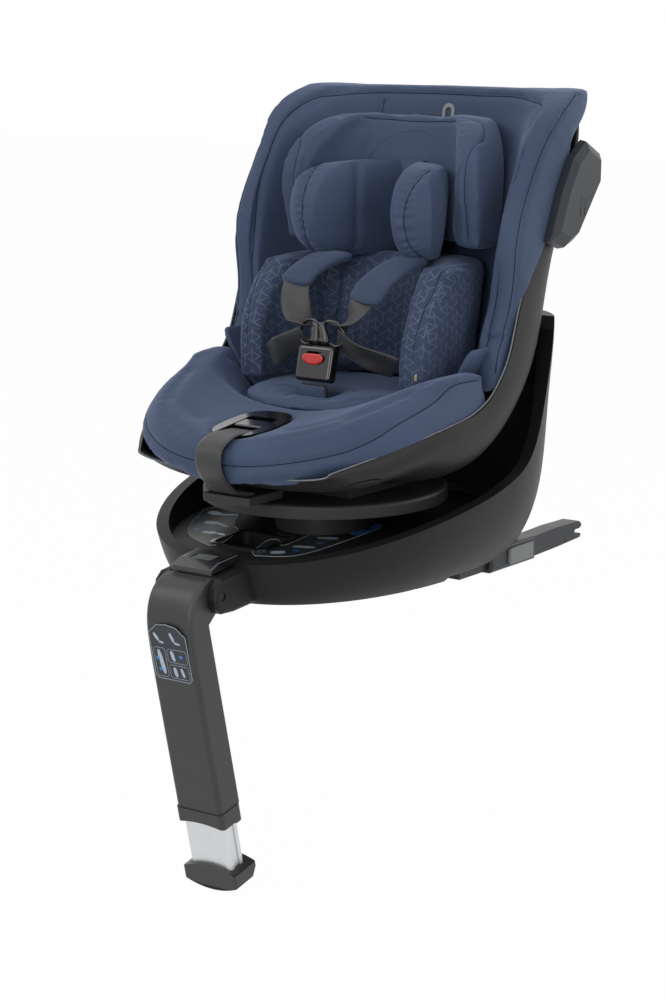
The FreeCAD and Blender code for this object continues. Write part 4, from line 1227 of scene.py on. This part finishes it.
pan_cover()
back_cover()
headrest_cover()
head_support()
body_support()
seat_support()
shoulder_sleeve("right", [(-57, 12, 348), (-54, 32, 363), (-51, 60, 373), (-49, 92, 377)])
shoulder_sleeve("left", [(53, 2, 332), (57, 22, 352), (61, 54, 369), (62, 92, 377)])
small_pad("crotch_pad", "crotch_sleeve")
harness()
buckle_face()
tongue(1, "left")
tongue(-1, "right")
bucket_edging()
guide_plates()
care_tag()
pod_slot_shades()


# ---------------------------------------------------------------- stage, light and camera

def area_light(name, place, aim, power, size):
    """A soft white panel light."""
    data = bpy.data.lights.new(name, "AREA")
    data.shape, data.size, data.size_y = "RECTANGLE", size[0], size[1]
    data.energy = power
    lamp = bpy.data.objects.new(name, data)
    bpy.context.collection.objects.link(lamp)
    lamp.location = place
    lamp.rotation_euler = (Vector(aim) - Vector(place)).to_track_quat("-Z", "Y").to_euler()


def background_share(tree):
    """1 for rays that should see the pale background: camera, glossy and transmission rays."""
    path = tree.nodes.new("ShaderNodeLightPath")
    first = tree.nodes.new("ShaderNodeMath")
    second = tree.nodes.new("ShaderNodeMath")
    first.operation = second.operation = "MAXIMUM"
    tree.links.new(path.outputs["Is Camera Ray"], first.inputs[0])
    tree.links.new(path.outputs["Is Glossy Ray"], first.inputs[1])
    tree.links.new(first.outputs[0], second.inputs[0])
    tree.links.new(path.outputs["Is Transmission Ray"], second.inputs[1])
    return second.outputs[0]


def build_stage():
    """A pale floor and backdrop with panel lights round the seat."""
    floor_z = CAD_BOX[0][2] - 0.0005
    mesh = bpy.data.meshes.new("floor")
    reach = 12.0
    mesh.from_pydata([(-reach, -reach, floor_z), (reach, -reach, floor_z), (reach, reach, floor_z),
                      (-reach, reach, floor_z)], [], [(0, 1, 2, 3)])
    floor = bpy.data.objects.new("floor", mesh)
    bpy.context.collection.objects.link(floor)
    material = bpy.data.materials.new("pale_floor")
    material.use_nodes = True
    tree = material.node_tree
    tree.nodes.clear()
    out = tree.nodes.new("ShaderNodeOutputMaterial")
    diffuse = tree.nodes.new("ShaderNodeBsdfDiffuse")
    diffuse.inputs["Color"].default_value = (0.86, 0.86, 0.86, 1)
    glow = tree.nodes.new("ShaderNodeEmission")
    glow.inputs["Strength"].default_value = 1.0
    mix = tree.nodes.new("ShaderNodeMixShader")
    scale = tree.nodes.new("ShaderNodeMath")
    scale.operation = "MULTIPLY"
    scale.inputs[1].default_value = 0.985
    tree.links.new(background_share(tree), scale.inputs[0])
    tree.links.new(scale.outputs[0], mix.inputs[0])
    tree.links.new(diffuse.outputs[0], mix.inputs[1])
    tree.links.new(glow.outputs[0], mix.inputs[2])
    tree.links.new(mix.outputs[0], out.inputs[0])
    mesh.materials.append(material)

    world = bpy.data.worlds.new("studio")
    bpy.context.scene.world = world
    world.use_nodes = True
    tree = world.node_tree
    tree.nodes.clear()
    out = tree.nodes.new("ShaderNodeOutputWorld")
    mix = tree.nodes.new("ShaderNodeMixShader")
    ambient = tree.nodes.new("ShaderNodeBackground")
    ambient.inputs["Color"].default_value = (0.92, 0.95, 1.0, 1)
    ambient.inputs["Strength"].default_value = 0.23
    white = tree.nodes.new("ShaderNodeBackground")
    white.inputs["Color"].default_value = (1, 1, 1, 1)
    white.inputs["Strength"].default_value = 1.0
    tree.links.new(background_share(tree), mix.inputs[0])
    tree.links.new(ambient.outputs[0], mix.inputs[1])
    tree.links.new(white.outputs[0], mix.inputs[2])
    tree.links.new(mix.outputs[0], out.inputs[0])

    area_light("key", (-1.3, -1.9, 1.9), (0, 0, 0.25), 17, (1.6, 1.2))
    area_light("top", (0.2, 0.1, 2.3), (0, 0, 0.3), 8, (1.8, 1.4))
    area_light("side", (2.3, -0.6, 0.9), (0.1, 0, 0.2), 11, (1.0, 1.6))
    area_light("rim", (1.6, 2.0, 1.2), (0, 0, 0.3), 12, (1.2, 1.2))
    area_light("low_front", (0.6, -2.4, 0.2), (0, 0, 0.05), 6, (1.4, 0.8))
    area_light("front", (0.9, -2.5, 1.1), (0, 0.1, 0.40), 13, (1.2, 1.2))


def build_camera():
    """The view from the child's left front, slightly above."""
    azimuth, elevation, reach = math.radians(36.0), math.radians(11.5), 3.09
    aim = Vector((-0.002, 0.0186, 0.083))
    back = Vector((math.sin(azimuth) * math.cos(elevation), -math.cos(azimuth) * math.cos(elevation),
                   math.sin(elevation)))
    data = bpy.data.cameras.new("camera")
    data.lens, data.sensor_width = 90.0, 36.0
    data.clip_end = 60.0
    camera = bpy.data.objects.new("camera", data)
    bpy.context.collection.objects.link(camera)
    camera.location = aim + back * reach
    camera.rotation_euler = (-back).to_track_quat("-Z", "Y").to_euler()
    bpy.context.scene.camera = camera


build_stage()
build_camera()
bpy.context.scene.view_settings.view_transform = "Standard"
